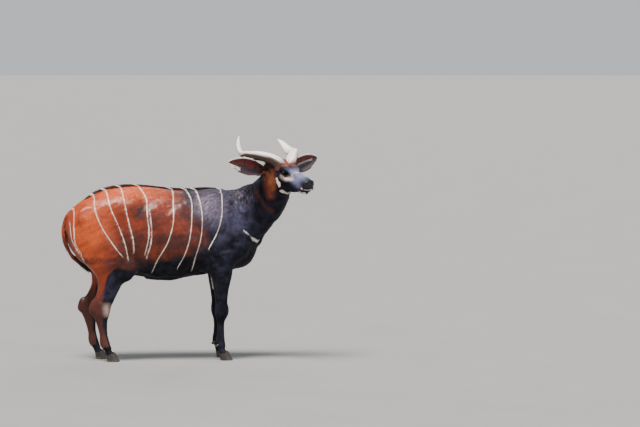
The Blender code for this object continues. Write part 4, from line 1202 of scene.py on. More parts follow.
def hair(name, normals, rows, broad, widths, thick, patch, shaded=None):
    """Tufts as closed three-sided spikes: a row of middles from the root to the tip for each.

    Each has its own patch of the map, and is shaded as the skin under it where shaded is given.
    """
    count, steps = rows.shape[0], rows.shape[1] - 1
    taper = np.linspace(1, 0.45, steps)
    rings = []
    for i in range(steps):
        half = broad * (widths / 2 * taper[i])[:, None]
        ridge = normals * (thick * taper[i])[:, None]
        rings += [rows[:, i] - half, rows[:, i] + half, rows[:, i] + ridge]
    points = np.stack([*rings, rows[:, -1]], 1)
    each = points.shape[1]
    faces = [(2, 1, 0)]
    for i in range(steps - 1):
        for k in range(3):
            a, b = 3 * i + k, 3 * i + (k + 1) % 3
            faces.append((a, b, b + 3, a + 3))
    last = 3 * (steps - 1)
    faces += [(last + k, last + (k + 1) % 3, each - 1) for k in range(3)]
    corners = np.concatenate([np.array(face) for face in faces])
    all_corners = (corners[None] + (np.arange(count) * each)[:, None]).ravel()
    totals = np.tile([len(face) for face in faces], count)
    obj = new_mesh(name, points.reshape(-1, 3), all_corners, totals)
    inner = np.zeros((each, 2))
    for i in range(steps):
        for k, u in enumerate((0.0, 1.0, 0.5)):
            inner[3 * i + k] = (u, 0.9 * i / steps + 0.05 * (k == 2))
    inner[-1] = (0.5, 1.0)
    uv = patch[:, None] + (inner[None] - 0.5) * 0.003
    layer = obj.data.uv_layers.new(name="OFBake")
    picked = uv.reshape(-1, 2)[all_corners]
    layer.data.foreach_set("uv", np.clip(picked, 0, 1).astype(np.float32).ravel())
    if shaded is not None:
        obj.data.normals_split_custom_set_from_vertices(np.repeat(shaded, each, axis=0).tolist())
    return obj, each


def skin_samples(obj, count, weight):
    """Places spread over the skin by area and weight, with the skin's normals and unwrap there."""
    mesh = obj.data
    mesh.calc_loop_triangles()
    number = len(mesh.loop_triangles)
    corners = np.empty(number * 3, np.int32)
    mesh.loop_triangles.foreach_get("vertices", corners)
    loops = np.empty(number * 3, np.int32)
    mesh.loop_triangles.foreach_get("loops", loops)
    corners, loops = corners.reshape(-1, 3), loops.reshape(-1, 3)
    points = positions(mesh)
    a, b, c = (points[corners[:, i]] for i in range(3))
    cross = np.cross(b - a, c - a)
    area = np.linalg.norm(cross, axis=1) / 2
    middle = (a + b + c) / 3
    chances = area * weight(middle)
    picked = chance.choice(number, size=count, p=chances / chances.sum())
    r, s = np.sqrt(chance.random(count)), chance.random(count)
    shares = np.stack([1 - r, r * (1 - s), r * s], 1)
    spots = (points[corners[picked]] * shares[:, :, None]).sum(1)
    facing = np.empty(len(points) * 3, np.float32)
    mesh.vertices.foreach_get("normal", facing)
    facing = (facing.reshape(-1, 3)[corners[picked]] * shares[:, :, None]).sum(1)
    unwrap = np.empty(len(mesh.loops) * 2, np.float32)
    mesh.uv_layers["unwrap"].data.foreach_get("uv", unwrap)
    uv = (unwrap.reshape(-1, 2)[loops[picked]] * shares[:, :, None]).sum(1)
    return spots, facing, uv


class Graph:
    """A material's nodes, put together in few words."""

    def __init__(self, name):
        self.material = bpy.data.materials.new(name)
        self.material.use_nodes = True
        self.tree = self.material.node_tree
        self.shader = self.tree.nodes["Principled BSDF"]
        self.coordinates = self.tree.nodes.new("ShaderNodeTexCoord").outputs["Object"]

    def put(self, socket, value):
        if isinstance(value, bpy.types.NodeSocket):
            self.tree.links.new(value, socket)
        elif socket.type == "RGBA" and len(value) == 3:
            socket.default_value = (*value, 1)
        else:
            socket.default_value = value

    def attribute(self, name):
        node = self.tree.nodes.new("ShaderNodeAttribute")
        node.attribute_name = name
        return node.outputs["Fac"]

    def math(self, operation, *values, clamp=False):
        node = self.tree.nodes.new("ShaderNodeMath")
        node.operation = operation
        node.use_clamp = clamp
        for socket, value in zip(node.inputs, values):
            self.put(socket, value)
        return node.outputs[0]

    def times(self, first, second, clamp=False):
        return self.math("MULTIPLY", first, second, clamp=clamp)

    def plus(self, first, second):
        return self.math("ADD", first, second)

    def minus(self, first, second):
        return self.math("SUBTRACT", first, second)

    def between(self, value, low, high, to_low=0.0, to_high=1.0):
        node = self.tree.nodes.new("ShaderNodeMapRange")
        node.interpolation_type = "SMOOTHSTEP"
        for socket, number in zip(node.inputs, (value, low, high, to_low, to_high)):
            self.put(socket, number)
        return node.outputs[0]

    def mix(self, share, first, second):
        node = self.tree.nodes.new("ShaderNodeMix")
        node.data_type = "RGBA"
        # The node has a pair of sockets for each kind of value; inputs 6 and 7 and output 2 are colours
        self.put(node.inputs["Factor"], share)
        self.put(node.inputs[6], first)
        self.put(node.inputs[7], second)
        return node.outputs[2]

    def noise(self, scale, detail=3.0, vector=None, rough=0.55):
        node = self.tree.nodes.new("ShaderNodeTexNoise")
        self.put(node.inputs["Vector"], vector or self.coordinates)
        node.inputs["Scale"].default_value = scale
        node.inputs["Detail"].default_value = detail
        node.inputs["Roughness"].default_value = rough
        return node.outputs["Fac"]

    def stretched(self, turn, scale, vector=None):
        """Coordinates turned, then scaled, so that a texture runs long along one way."""
        for rotation, size in ((turn, (1, 1, 1)), ((0, 0, 0), scale)):
            node = self.tree.nodes.new("ShaderNodeMapping")
            self.put(node.inputs["Vector"], vector or self.coordinates)
            node.inputs["Rotation"].default_value = rotation
            node.inputs["Scale"].default_value = size
            vector = node.outputs[0]
        return vector

    def shaded(self, color, shade):
        """A colour made lighter or darker by a number."""
        color = self.mix(1.0, color, self.vector(shade, shade, shade))
        color.node.blend_type = "MULTIPLY"
        return color

    def vector(self, x, y, z):
        node = self.tree.nodes.new("ShaderNodeCombineXYZ")
        for socket, value in zip(node.inputs, (x, y, z)):
            self.put(socket, value)
        return node.outputs[0]

    def bump(self, height, strength, distance, normal=None):
        node = self.tree.nodes.new("ShaderNodeBump")
        node.inputs["Strength"].default_value = strength
        node.inputs["Distance"].default_value = distance
        self.put(node.inputs["Height"], height)
        if normal:
            self.put(node.inputs["Normal"], normal)
        return node.outputs[0]

    def finish(self, **values):
        for name, value in values.items():
            self.put(self.shader.inputs[name.replace("_", " ")], value)
        return self.material


def coat_material(name, on_tufts):
    """Rust to blue-black, with white stripes and patches, mixed by the coat's markings."""
    g = Graph(name)
    broad = g.noise(5.0, 4.0)
    patchy = g.noise(16.0, 4.0)
    grain = g.noise(1.0, 3.0, g.stretched((0, math.radians(-48), 0), (55, 260, 300)))
    fine = g.noise(240.0, 2.0)
    ragged = g.minus(g.noise(110.0, 3.0), 0.5)
    pleats = g.noise(1.0, 2.0, g.stretched((0, math.radians(8), 0), (105, 60, 13)))
    creases = g.noise(1.0, 3.0, g.stretched((0, math.radians(52), 0), (30, 50, 150)))

    rust = g.mix(g.between(broad, 0.35, 0.65), RUST_DEEP, RUST_WARM)
    # Brighter orange, with the painted highlight along the top of the back
    rust = g.mix(g.times(g.attribute("orange"), 0.85), rust, RUST_ORANGE)
    deep = g.times(g.attribute("deep"), g.between(patchy, 0.30, 0.62, 0.70, 1.20))
    rust = g.mix(g.times(deep, 0.88, clamp=True), rust, RUST_BROWN)
    rust = g.mix(g.attribute("shin"), rust, RUST_SHANK)
    rust = g.mix(g.between(g.attribute("ochre"), 0.10, 0.85, 0.0, 0.85), rust, RUST_OCHRE)
    ink_blue = g.mix(g.between(patchy, 0.38, 0.66), BLUE_BLACK, BLUE_GREY)
    # Painted highlight: blue-grey sheen laid over the black coat where its spots lie
    painted_sheen = g.times(g.attribute("painted_sheen"), g.between(patchy, 0.30, 0.64, 0.25, 0.80))
    ink_blue = g.mix(painted_sheen, ink_blue, SHEEN_HIGHLIGHT_GREY)
    # Painted highlight: pale sheen on the ridges of the neck's folds and the shoulder's creases
    lines = g.times(g.between(pleats, 0.44, 0.70, 0.0, 0.34), g.attribute("fold"))
    marks = g.times(g.between(creases, 0.38, 0.70, 0.22, 0.72), g.attribute("blade"))
    fold_sheen = g.times(g.math("MAXIMUM", lines, marks), 1.0, clamp=True)
    ink_blue = g.mix(fold_sheen, ink_blue, FOLD_SHEEN_GREY)
    dark = g.plus(g.attribute("dark"), g.times(ragged, 0.35))
    dark = g.plus(dark, g.times(g.minus(patchy, 0.5), 0.45))
    color = g.mix(g.between(dark, 0.12, 0.88), rust, ink_blue)
    color = g.mix(g.between(g.attribute("grey"), 0.15, 0.85), color, MUZZLE_GREY)
    cream = g.plus(g.attribute("cream"), g.times(ragged, 0.30))
    color = g.mix(g.between(cream, 0.10, 0.95, 0.0, 0.85), color, CREAM_HAIR)
    white = g.plus(g.attribute("white"), g.times(ragged, 0.40))
    color = g.mix(g.between(white, 0.36, 0.66), color, WHITE_HAIR)

    turned_phase = g.math("FRACT", g.plus(g.attribute("phase"), 10.5))
    off = g.math("ABSOLUTE", g.minus(turned_phase, 0.5))
    off = g.times(off, g.attribute("spacing"))
    off = g.plus(off, g.times(ragged, 0.0038))
    off = g.plus(off, g.times(g.minus(patchy, 0.5), 0.0050))
    stripe = g.between(off, STRIPE_HALF - 0.0022, STRIPE_HALF + 0.0018, 1.0, 0.0)
    stripe = g.times(stripe, g.attribute("reach"))
    color = g.mix(stripe, color, STRIPE_WHITE)
    color = g.mix(g.attribute("ink"), color, INK)
    streaks = g.between(grain, 0.30, 0.70, 0.80, 1.16)
    shade = g.times(streaks, g.between(fine, 0.25, 0.75, 0.88, 1.10))
    color = g.shaded(color, shade)

    rough = g.between(patchy, 0.3, 0.7, 0.33, 0.42)
    rough = g.plus(rough, g.between(g.attribute("dark"), 0.2, 0.9, 0.0, 0.14))
    rough = g.minus(rough, g.times(g.attribute("nose"), 0.26))
    gloss = g.between(g.attribute("dark"), 0.2, 0.9, 0.34, 0.10)
    gloss = g.plus(gloss, g.times(g.attribute("nose"), 0.30))
    values = {"Base_Color": color, "Roughness": rough, "Specular_IOR_Level": gloss}
    if not on_tufts:
        pores = g.plus(grain, g.times(fine, 0.4))
        ridges = g.times(pleats, g.attribute("fold"))
        ridges = g.plus(ridges, g.times(creases, g.attribute("blade")))
        values["Normal"] = g.bump(pores, 0.30, 0.0010, g.bump(ridges, 0.40, 0.0030))
    return g.finish(**values)


def horn_material():
    """Pale keratin with a painted highlight on top and dark brown with painted shade beneath; brown at the
    base, ivory at the tip.
    """
    g = Graph("horn")
    around = g.vector(
        g.times(g.attribute("turn_x"), 7.0),
        g.times(g.attribute("turn_y"), 7.0),
        g.times(g.attribute("along"), 5.0),
    )
    streak_noise = g.noise(1.0, 5.0, around)
    fine = g.noise(300.0, 3.0)
    # Painted light: the side that faces up is painted pale as a highlight, the side beneath dark brown as
    # shade
    top = g.plus(g.attribute("top"), g.times(g.minus(streak_noise, 0.5), 0.9))
    top = g.plus(top, g.between(g.attribute("along"), 0.50, 0.72))
    color = g.mix(g.between(top, 0.08, 0.56), HORN_BROWN_AND_SHADE, HORN_PALE_AND_HIGHLIGHT)
    base = g.between(g.attribute("along"), 0.02, 0.16, 1.0, 0.0)
    color = g.mix(g.times(base, 0.80), color, HORN_BASE)
    color = g.mix(g.between(g.attribute("along"), 0.60, 0.90), color, HORN_TIP)
    shade = g.between(streak_noise, 0.25, 0.75, 0.72, 1.15)
    color = g.shaded(color, shade)
    rough = g.between(streak_noise, 0.3, 0.7, 0.30, 0.48)
    normal = g.bump(g.plus(streak_noise, g.times(fine, 0.2)), 0.35, 0.0015)
    return g.finish(Base_Color=color, Roughness=rough, Normal=normal)


def ear_material(name):
    """Dark red skin inside, brown hair outside, white hair on the rims."""
    g = Graph(name)
    patchy = g.noise(40.0, 4.0)
    fine = g.noise(260.0, 3.0)
    inside = g.mix(g.between(patchy, 0.35, 0.68), EAR_RED, EAR_DARK)
    inside = g.mix(g.attribute("shadow"), inside, EAR_DARK)
    outside = g.mix(g.between(patchy, 0.30, 0.70), EAR_BROWN, EAR_OUTER)
    color = g.mix(g.attribute("inner"), outside, inside)
    pale = g.plus(g.attribute("pale"), g.times(g.minus(fine, 0.5), 0.8))
    color = g.mix(g.between(pale, 0.35, 0.70), color, WHITE_HAIR)
    shade = g.between(fine, 0.25, 0.75, 0.80, 1.15)
    color = g.shaded(color, shade)
    rough = g.between(patchy, 0.3, 0.7, 0.48, 0.66)
    return g.finish(Base_Color=color, Roughness=rough, Normal=g.bump(fine, 0.35, 0.0010))


def eye_material():
    """A dark wet eye with a brown iris and a pupil that lies level."""
    g = Graph("eye")
    u, v = g.attribute("eye_u"), g.attribute("eye_v")
    out = g.math("SQRT", g.plus(g.math("POWER", u, 2.0), g.math("POWER", v, 2.0)))
    flat_u = g.math("DIVIDE", u, 0.40)
    flat_v = g.math("DIVIDE", v, 0.22)
    slot = g.plus(g.math("POWER", flat_u, 2.0), g.math("POWER", flat_v, 2.0))
    rays = g.noise(1.0, 4.0, g.vector(g.times(u, 30.0), g.times(v, 30.0), 0.0))
    iris = g.mix(g.between(rays, 0.35, 0.70), IRIS_DARK, IRIS_BROWN)
    color = g.mix(g.between(slot, 0.85, 1.15), INK, iris)
    color = g.mix(g.between(out, 0.60, 0.70), color, EYE_WHITE)
    rough = g.between(rays, 0.2, 0.8, 0.02, 0.05)
    g.shader.inputs["Coat Weight"].default_value = 1.0
    g.shader.inputs["Coat Roughness"].default_value = 0.02
    return g.finish(Base_Color=color, Roughness=rough)


def hoof_material():
    """Dark horn with fine growth lines and dusty, worn edges."""
    g = Graph("hoof")
    lines = g.noise(1.0, 3.0, g.stretched((0, 0, 0), (30, 30, 520)))
    grain = g.noise(1.0, 4.0, g.stretched((0, 0, 0), (420, 420, 26)))
    dust = g.noise(60.0, 5.0)
    color = g.mix(g.between(grain, 0.3, 0.7), HOOF_DARK, HOOF_BROWN)
    low = g.tree.nodes.new("ShaderNodeSeparateXYZ")
    g.put(low.inputs[0], g.coordinates)
    near_ground = g.between(low.outputs["Z"], 0.004, 0.030, 1.0, 0.0)
    color = g.mix(g.times(near_ground, g.between(dust, 0.40, 0.70, 0.0, 0.6)), color, HOOF_DUST)
    rough = g.between(dust, 0.3, 0.7, 0.34, 0.56)
    height = g.plus(g.times(lines, 0.6), g.times(grain, 0.4))
    return g.finish(Base_Color=color, Roughness=rough, Normal=g.bump(height, 0.5, 0.0010))


def strand_material(name, dark, light):
    """Stiff hair of one kind: crest, tail brush, lashes and whiskers."""
    g = Graph(name)
    patchy = g.noise(90.0, 3.0)
    color = g.mix(g.between(patchy, 0.35, 0.68), dark, light)
    color = g.mix(g.attribute("pale"), color, WHITE_HAIR)
    rough = g.between(patchy, 0.3, 0.7, 0.38, 0.55)
    return g.finish(Base_Color=color, Roughness=rough)


def floor_material():
    g = Graph("floor")
    shade = g.noise(1.4, 3.0)
    color = g.mix(g.between(shade, 0.3, 0.7), (0.192, 0.188, 0.181), (0.204, 0.200, 0.193))
    return g.finish(Base_Color=color, Roughness=g.between(shade, 0.3, 0.7, 0.85, 0.95))


def grid_mesh(name, rings):
    """A mesh through rings of points with both ends filled; each ring has the same number."""
    rings = np.asarray(rings, float)
    count, around = rings.shape[:2]
    corners, totals = [], []
    for i in range(count - 1):
        for k in range(around):
            a, b = i * around + k, i * around + (k + 1) % around
            corners += [a, b, b + around, a + around]
            totals.append(4)
    corners += list(range(around))[::-1]
    corners += list(range((count - 1) * around, count * around))
    totals += [around, around]
    obj = new_mesh(name, rings.reshape(-1, 3), corners, totals)
    made = bmesh.new()
    made.from_mesh(obj.data)
    bmesh.ops.recalc_face_normals(made, faces=made.faces)
    made.to_mesh(obj.data)
    made.free()
    return obj


def horn(name, side_name, frame):
    """A horn with its keel, growth rings near the base and a slight wave along its length."""
    side = SIDES[side_name]
    _, run = smooth_rows([(i, *knot) for i, knot in enumerate(HORN_KNOTS)], samples=150)
    middles = []
    for i, (x, y, z, _, _) in enumerate(run):
        share = (i / (len(run) - 1)) ** 2.3
        bend = [v * math.sin(math.pi * share) for v in HORN_BEND[side_name]]
        lift = HORN_LIFT[side_name] * share
        middles.append(frame @ Vector((x + bend[0], side * (y + bend[1]), z + bend[2] + lift)))
    rings, values = [], {"along": [], "top": [], "turn_x": [], "turn_y": []}
    for i, (middle, row) in enumerate(zip(middles, run)):
        share = i / (len(run) - 1)
        ahead = middles[min(i + 1, len(middles) - 1)] - middles[max(i - 1, 0)]
        out = ahead.cross(Vector((0, 0, 1))).normalized() * side
        up = out.cross(ahead).normalized() * side
        long, short = (out + up).normalized(), (up - out).normalized()
        ripple = 0.018 * max(0, 1 - share / 0.60) * math.sin(share * 150 + 1.5 * math.sin(share * 31))
        ring = []
        for k in range(44):
            angle = 2 * math.pi * k / 44
            keel = 0.996 + 0.14 * max(0, math.cos(angle)) ** 6 + ripple * (0.6 + 0.4 * math.cos(angle))
            way = long * row[3] * math.cos(angle) + short * row[4] * math.sin(angle)
            ring.append(tuple(middle + way * keel))
            facing = long * row[4] * math.cos(angle) + short * row[3] * math.sin(angle)
            values["along"].append(share)
            # How far the surface faces up, which the horn's material paints as a lit top and a shaded
            # underside
            values["top"].append(facing.normalized().z)
            values["turn_x"].append(math.cos(angle))
            values["turn_y"].append(math.sin(angle))
        rings.append(ring)
    obj = grid_mesh(name, rings)
    give(obj, values)
    return obj


def ear_shape(side_name, frame):
    """Where a point of the ear's leaf lies: share along, place from edge to edge, face."""
    side = SIDES[side_name]
    root = ear_root(side_name, frame)
    along = Vector(EAR_ALONG[side_name]).normalized()
    face = Vector(EAR_FACE[side_name])
    face = (face - along * face.dot(along)).normalized()
    across = along.cross(face)
    at, table = smooth_rows(EAR_SECTIONS)

    def point(share, edge, inner):
        half, wrap, thick = (np.interp(share, at, column) for column in table.T)
        wrap = math.radians(wrap)
        radius = half / math.sin(min(wrap, math.pi / 2))
        arch = (face * 0.020 - across * side * EAR_ARCH[side_name]) * math.sin(math.pi * share)
        lip = 1 - 0.55 * abs(edge) ** 6
        reach = radius - thick * lip if inner else radius
        angle = wrap * edge
        back = math.cos(min(wrap, math.pi / 2)) * radius - math.cos(angle) * reach
        middle = root + along * EAR_LENGTH[side_name] * share + arch
        return middle + across * math.sin(angle) * reach + face * back

    return point, along, face, across


def ear(name, side_name, frame):
    """The ear's leaf: a stem that opens to a cup and closes to a blunt point."""
    point, _, _, across = ear_shape(side_name, frame)
    upward = 1.0 if across.z > 0 else -1.0
    rings, values = [], {"inner": [], "pale": [], "shadow": []}
    for i in range(61):
        share = 1 - (1 - i / 60) ** 1.15
        ring = []
        for inner in (False, True):
            for k in range(25):
                edge = -1 + k / 12 if not inner else 1 - k / 12
                ring.append(tuple(point(share, edge, inner)))
                upper = edge * upward
                rim = smooth(upper, 0.80, 0.97) * smooth(share, 0.34, 0.50)
                low_tip = smooth(-upper, 0.15, 0.60) * smooth(share, 0.72, 0.94) * inner
                low_tip *= side_name == "right"
                deep = smooth(-upper, -0.25, 0.35) * 0.95 + 0.6 * smooth(-share, -0.34, -0.18)
                values["inner"].append(float(inner))
                values["pale"].append(max(0.9 * rim, 0.75 * low_tip))
                values["shadow"].append(min(deep, 1.0))
        rings.append(ring)
    obj = grid_mesh(name, rings)
    give(obj, values)
    return obj


def eyeball(name, side, frame):
    """The ball of an eye with a low bulge for its clear front."""
    made = bmesh.new()
    bmesh.ops.create_uvsphere(made, u_segments=56, v_segments=40, radius=EYE_RADIUS - 0.0002)
    local = [vertex.co.copy() / EYE_RADIUS for vertex in made.verts]
    for vertex, at in zip(made.verts, local):
        bulge = 0.0007 * smooth(at.z, 0.72, 0.92)
        vertex.co += vertex.co.normalized() * float(bulge)
    bmesh.ops.transform(made, matrix=eye_frame(side, frame), verts=made.verts)
    obj = finished(made, name)
    give(obj, {"eye_u": [p.x for p in local], "eye_v": [p.y for p in local]})
    return obj


def claw(name, at_x, at_y, way):
    """Half of a cloven hoof with a bevelled sole, up to the coronet."""
    heights = (0.000, 0.006, 0.030, 0.075)
    table = (
        (0.0425, 0.0430, 0.0380, 0.0310),
        (0.0165, 0.0172, 0.0165, 0.0140),
        (0.0100, 0.0095, 0.0015, -0.0160),
    )
    rings = []
    for i in range(27):
        ring = []
        for k in range(44):
            angle = 2 * math.pi * k / 44
            toe = math.cos(angle)
            top = CORONET_HEIGHT + CORONET_RISE * (0.034 * toe + 0.012) + 0.003
            z = top * min(1.0, (i / 25) ** 1.2)
            length, width, shift = (np.interp(z, heights, row) for row in table)
            edge = 1 - 0.045 * max(0.0, 1 - z / 0.0022) - 0.22 * (i > 25)
            wave = 1 + 0.007 * math.sin(z * 1050 + 0.8 * toe) * (z > 0.004) * (i < 25)
            x = length * toe * edge * wave + shift
            y = width * math.sin(angle) * (1 - 0.30 * max(toe, 0)) * edge * wave
            y = y * (1.0 if y * way > 0 else 0.80) - way * 0.003 * max(toe, 0)
            ring.append((at_x + x, at_y + y, z))
        rings.append(ring)
    return grid_mesh(name, rings)


def dewclaw(name, at, way):
    """A small false hoof behind the fetlock."""
    back = Vector((-0.80, way * 0.12, -0.60)).normalized()
    out = Vector((0, 1, 0))
    up = back.cross(out)
    steps = (-0.018, 0.004, 0.013, 0.0175, 0.0192)
    radii = (0.0088, 0.0090, 0.0071, 0.0042, 0.0012)
    rings = []
    for i in range(17):
        share = i / 16
        step = -0.018 + 0.0372 * share
        radius = np.interp(step, steps, radii)
        radius *= 1 + 0.02 * math.sin(share * 40)
        ring = []
        for k in range(22):
            angle = 2 * math.pi * k / 22
            offset = out * radius * math.cos(angle) + up * radius * 0.8 * math.sin(angle)
            ring.append(tuple(Vector(at) + back * step + offset))
        rings.append(ring)
    return grid_mesh(name, rings)


def make_skin(forms):
    """The skin: a rough surface, refined at the head, laid on the field, folded and cut."""
    points, quads = rough_surface(forms, (-0.75, -0.62, 0.0), (1.12, 0.33, 1.5), SKIN_VOXEL)
    mesh = bpy.data.meshes.new("rough")
    mesh.from_pydata(points.tolist(), [], quads.tolist())
    made = bmesh.new()
    made.from_mesh(mesh)
    bpy.data.meshes.remove(mesh)
    drop_scraps(made)
    for inside in (near_head, near_folds, near_face, near_eye):
        refine(made, inside)
    points = np.array([vertex.co for vertex in made.verts])
    level = -COAT_DEPTH * (1 - 0.75 * near_head(points))
    points, normals = settled(points, forms, level, 3)
    points = points + normals * folds(points, normals)[:, None]
    for vertex, point in zip(made.verts, points):
        vertex.co = point
    open_lids(made)
    bmesh.ops.recalc_face_normals(made, faces=made.faces)
    return finished(made, "hide")


def drop_scraps(made):
    """Keeps the largest closed surface."""
    left, bodies = set(made.verts), []
    while left:
        found, edge = set(), [left.pop()]
        while edge:
            vertex = edge.pop()
            found.add(vertex)
            near = [e.other_vert(vertex) for e in vertex.link_edges]
            edge += [v for v in near if v in left]
            left.difference_update(near)
        bodies.append(found)
    bodies.sort(key=len)
    for scrap in bodies[:-1]:
        bmesh.ops.delete(made, geom=list(scrap), context="VERTS")
    made.verts.index_update()


def unwrap(obj):
    """Lays the skin out flat, for the coat's own map."""
    bpy.ops.object.select_all(action="DESELECT")
    bpy.context.view_layer.objects.active = obj
    obj.select_set(True)
    obj.data.uv_layers.new(name="unwrap")
    bpy.ops.object.mode_set(mode="EDIT")
    bpy.ops.mesh.select_all(action="SELECT")
    bpy.ops.uv.smart_project(angle_limit=math.radians(70), island_margin=0.001)
    bpy.ops.object.mode_set(mode="OBJECT")
    obj.select_set(False)


def coat_region(points):
    """Which piece of the coat a place belongs to, from 0."""
    x, y, z = points.T
    h = in_head(points)
    head = on_face(h)
    neck = ~head & (x > 0.52) & (z > 0.72)
    fore = ~head & ~neck & (x > 0.18) & (z < 0.66)
    hind = ~head & ~neck & (x < -0.18) & (z < 0.66)
    left = y > 0
    return np.select([head, neck, fore, hind, left], [0, 1, 2, 3, 4], 5)


def coat_size(points):
    """How long a tuft is at a place: short on face and feet, longer on trunk and neck."""
    z = points[:, 2]
    h = in_head(points)
    face = on_face(h)
    length = 0.0095 + 0.0085 * smooth(z, 0.30, 0.75)
    length = np.where(face, 0.0080 - 0.0035 * smooth(h[:, 0], 0.0, 0.2), length)
    return np.where(z < 0.11, 0.0075, length)


def make_coat(hide, forms, material):
    """Short tufts that lie along the body, in six pieces."""

    def weight(at):
        h = in_half_head(at)
        face = on_face(h)
        eye = np.linalg.norm(h - EYE_PLACE, axis=1) < 0.0235
        nose = (h[:, 0] > 0.232) & (h[:, 2] > -0.030)
        lips = face & (h[:, 0] > 0.14) & (np.abs(h[:, 2] + 0.048) < 0.006)
        amount = 1.0 + 2.4 * face + 1.2 * (at[:, 2] < 0.45)
        return np.where(eye | nose | lips, 0.0, amount)

    roots, facing, uv = skin_samples(hide, TUFTS, weight)
    sizes = coat_size(roots) * chance.uniform(0.8, 1.25, len(roots))
    _, slope = slope_at(roots, forms)
    normals = unit(slope)
    way = lie_of_coat(roots, normals)
    across = np.cross(normals, way)
    way = unit(way + across * chance.normal(0, 0.13, len(roots))[:, None])
    middle = roots + way * sizes[:, None] * 0.52
    tip = roots + way * sizes[:, None]
    spots = np.concatenate([middle, tip])
    out = np.tile(normals, (2, 1))
    level = folds(spots, out) - COAT_DEPTH * (1 - 0.75 * near_head(spots))
    spots = spots - out * np.clip(field_at(spots, forms) - level, -0.007, 0.007)[:, None]
    middle, tip = spots[: len(roots)], spots[len(roots) :]
    lift = sizes * chance.uniform(0.030, 0.062, len(roots))
    raised = middle + normals * lift[:, None]
    rows = np.stack([roots - normals * 0.0009, raised, tip + normals * (lift * 0.9)[:, None]], 1)
    marks = markings((roots + middle) / 2, normals)
    facing = unit(facing + 0.13 * chance.normal(0, 1, facing.shape) - 0.10 * way)
    region = coat_region(roots)
    widths = sizes * chance.uniform(0.11, 0.16, len(roots))
    pieces = []
    for i, name in enumerate(COAT_NAMES):
        own = region == i
        args = [v[own] for v in (normals, rows, across, widths, widths * 0.32, uv, facing)]
        obj, each = hair(name, *args)
        give(obj, {key: np.repeat(value[own], each) for key, value in marks.items()})
        obj.data.materials.append(material)
        pieces.append(obj)
    return pieces


def locks(name, roots, aims, bends, lengths, widths, pale, patch, material, steps=4):
    """Longer hair: each lock leaves its root along aim and ends along bend."""
    roots, aims, bends = (np.asarray(v, float) for v in (roots, aims, bends))
    rows = [roots]
    for i in range(steps):
        share = i / max(steps - 1, 1)
        way = unit(aims * (1 - share) + bends * share)
        rows.append(rows[-1] + way * (np.asarray(lengths) / steps)[:, None])
    rows = np.stack(rows, 1)
    whole = unit(rows[:, -1] - rows[:, 0])
    side = np.cross(whole, np.tile([0.3, 0.9, 0.2], (len(roots), 1)))
    side = unit(side - whole * (side * whole).sum(1)[:, None])
    ridge = np.cross(whole, side)
    widths = np.asarray(widths, float)
    obj, each = hair(name, ridge, rows, side, widths, widths * 0.35, np.asarray(patch, float))
    give(obj, {"pale": np.repeat(np.asarray(pale, float), each)})
    obj.data.materials.append(material)
    return obj


def map_places(hide, points):
    """Where the skin nearest to each point lies on the skin's unwrap."""
    uv = hide.data.uv_layers["unwrap"].data
    faces = [hide.closest_point_on_mesh(Vector(point))[3] for point in points]
    return np.array([tuple(uv[hide.data.polygons[face].loop_start].uv) for face in faces])


def top_of(forms, x, y):
    """The height of the back above each place."""
    points = columns(x, y, 1.24)
    for _ in range(5):
        points[:, 2] -= field_at(points, forms).clip(-0.03, 0.03)
    return points


def make_crest(hide, forms, material):
    """The low dark crest along the spine, white where a stripe meets it."""
    count = CREST_HAIRS
    share = chance.random(count)
    x = CREST_FROM + (CREST_TO + 0.03 - CREST_FROM) * share
    y = chance.normal(0, 0.0045, count)
    roots = top_of(forms, x, y) - (0, 0, 0.004)
    length = (0.030 + 0.020 * np.sin(math.pi * share)) * chance.uniform(0.6, 1.15, count)
    length *= 1 - 0.45 * smooth(np.abs(share - 0.5), 0.42, 0.50)
    aims = columns(-0.62, y * 40 + chance.normal(0, 0.14, count), 0.62)
    bends = columns(-0.98, y * 22 + chance.normal(0, 0.14, count), 0.06)
    ups = np.tile([0.0, 0.0, 1.0], (count, 1))
    marks = markings(roots, ups)
    off = np.abs((marks["phase"] + 0.5) % 1 - 0.5) * marks["spacing"]
    pale = (off < 0.009) * marks["reach"]
    widths = chance.uniform(0.0014, 0.0024, count)
    patch = map_places(hide, roots)
    return locks("crest", roots, aims, bends, length, widths, pale, patch, material)


def make_brush(hide, material):
    """The black brush at the end of the tail, which tapers to a point."""
    count = BRUSH_HAIRS
    x, z, _, _ = TAIL_KNOTS[-1]
    angle = chance.uniform(0, 2 * math.pi, count)
    up = chance.uniform(0, 0.080, count)
    ring = 0.010 * chance.uniform(0.4, 1, count)
    roots = columns(x - up * 0.72 + ring * np.cos(angle), ring * np.sin(angle), z + 0.006 + up * 0.66)
    axis = np.array([0.80, 0.0, -0.60])
    out = columns(np.cos(angle), np.sin(angle), 0.0)
    loose = chance.normal(0, 0.05, (count, 3))
    aims = axis + (0.05, 0, -0.15) + 0.16 * out + loose
    bends = axis + (0, 0, -0.10) - 0.16 * out + loose
    length = 0.110 * chance.uniform(0.55, 1.15, count) + up * 0.8
    width = chance.uniform(0.0016, 0.0028, count)
    patch = map_places(hide, roots)
    return locks("tail_brush", roots, aims, bends, length, width, np.zeros(count), patch, material)


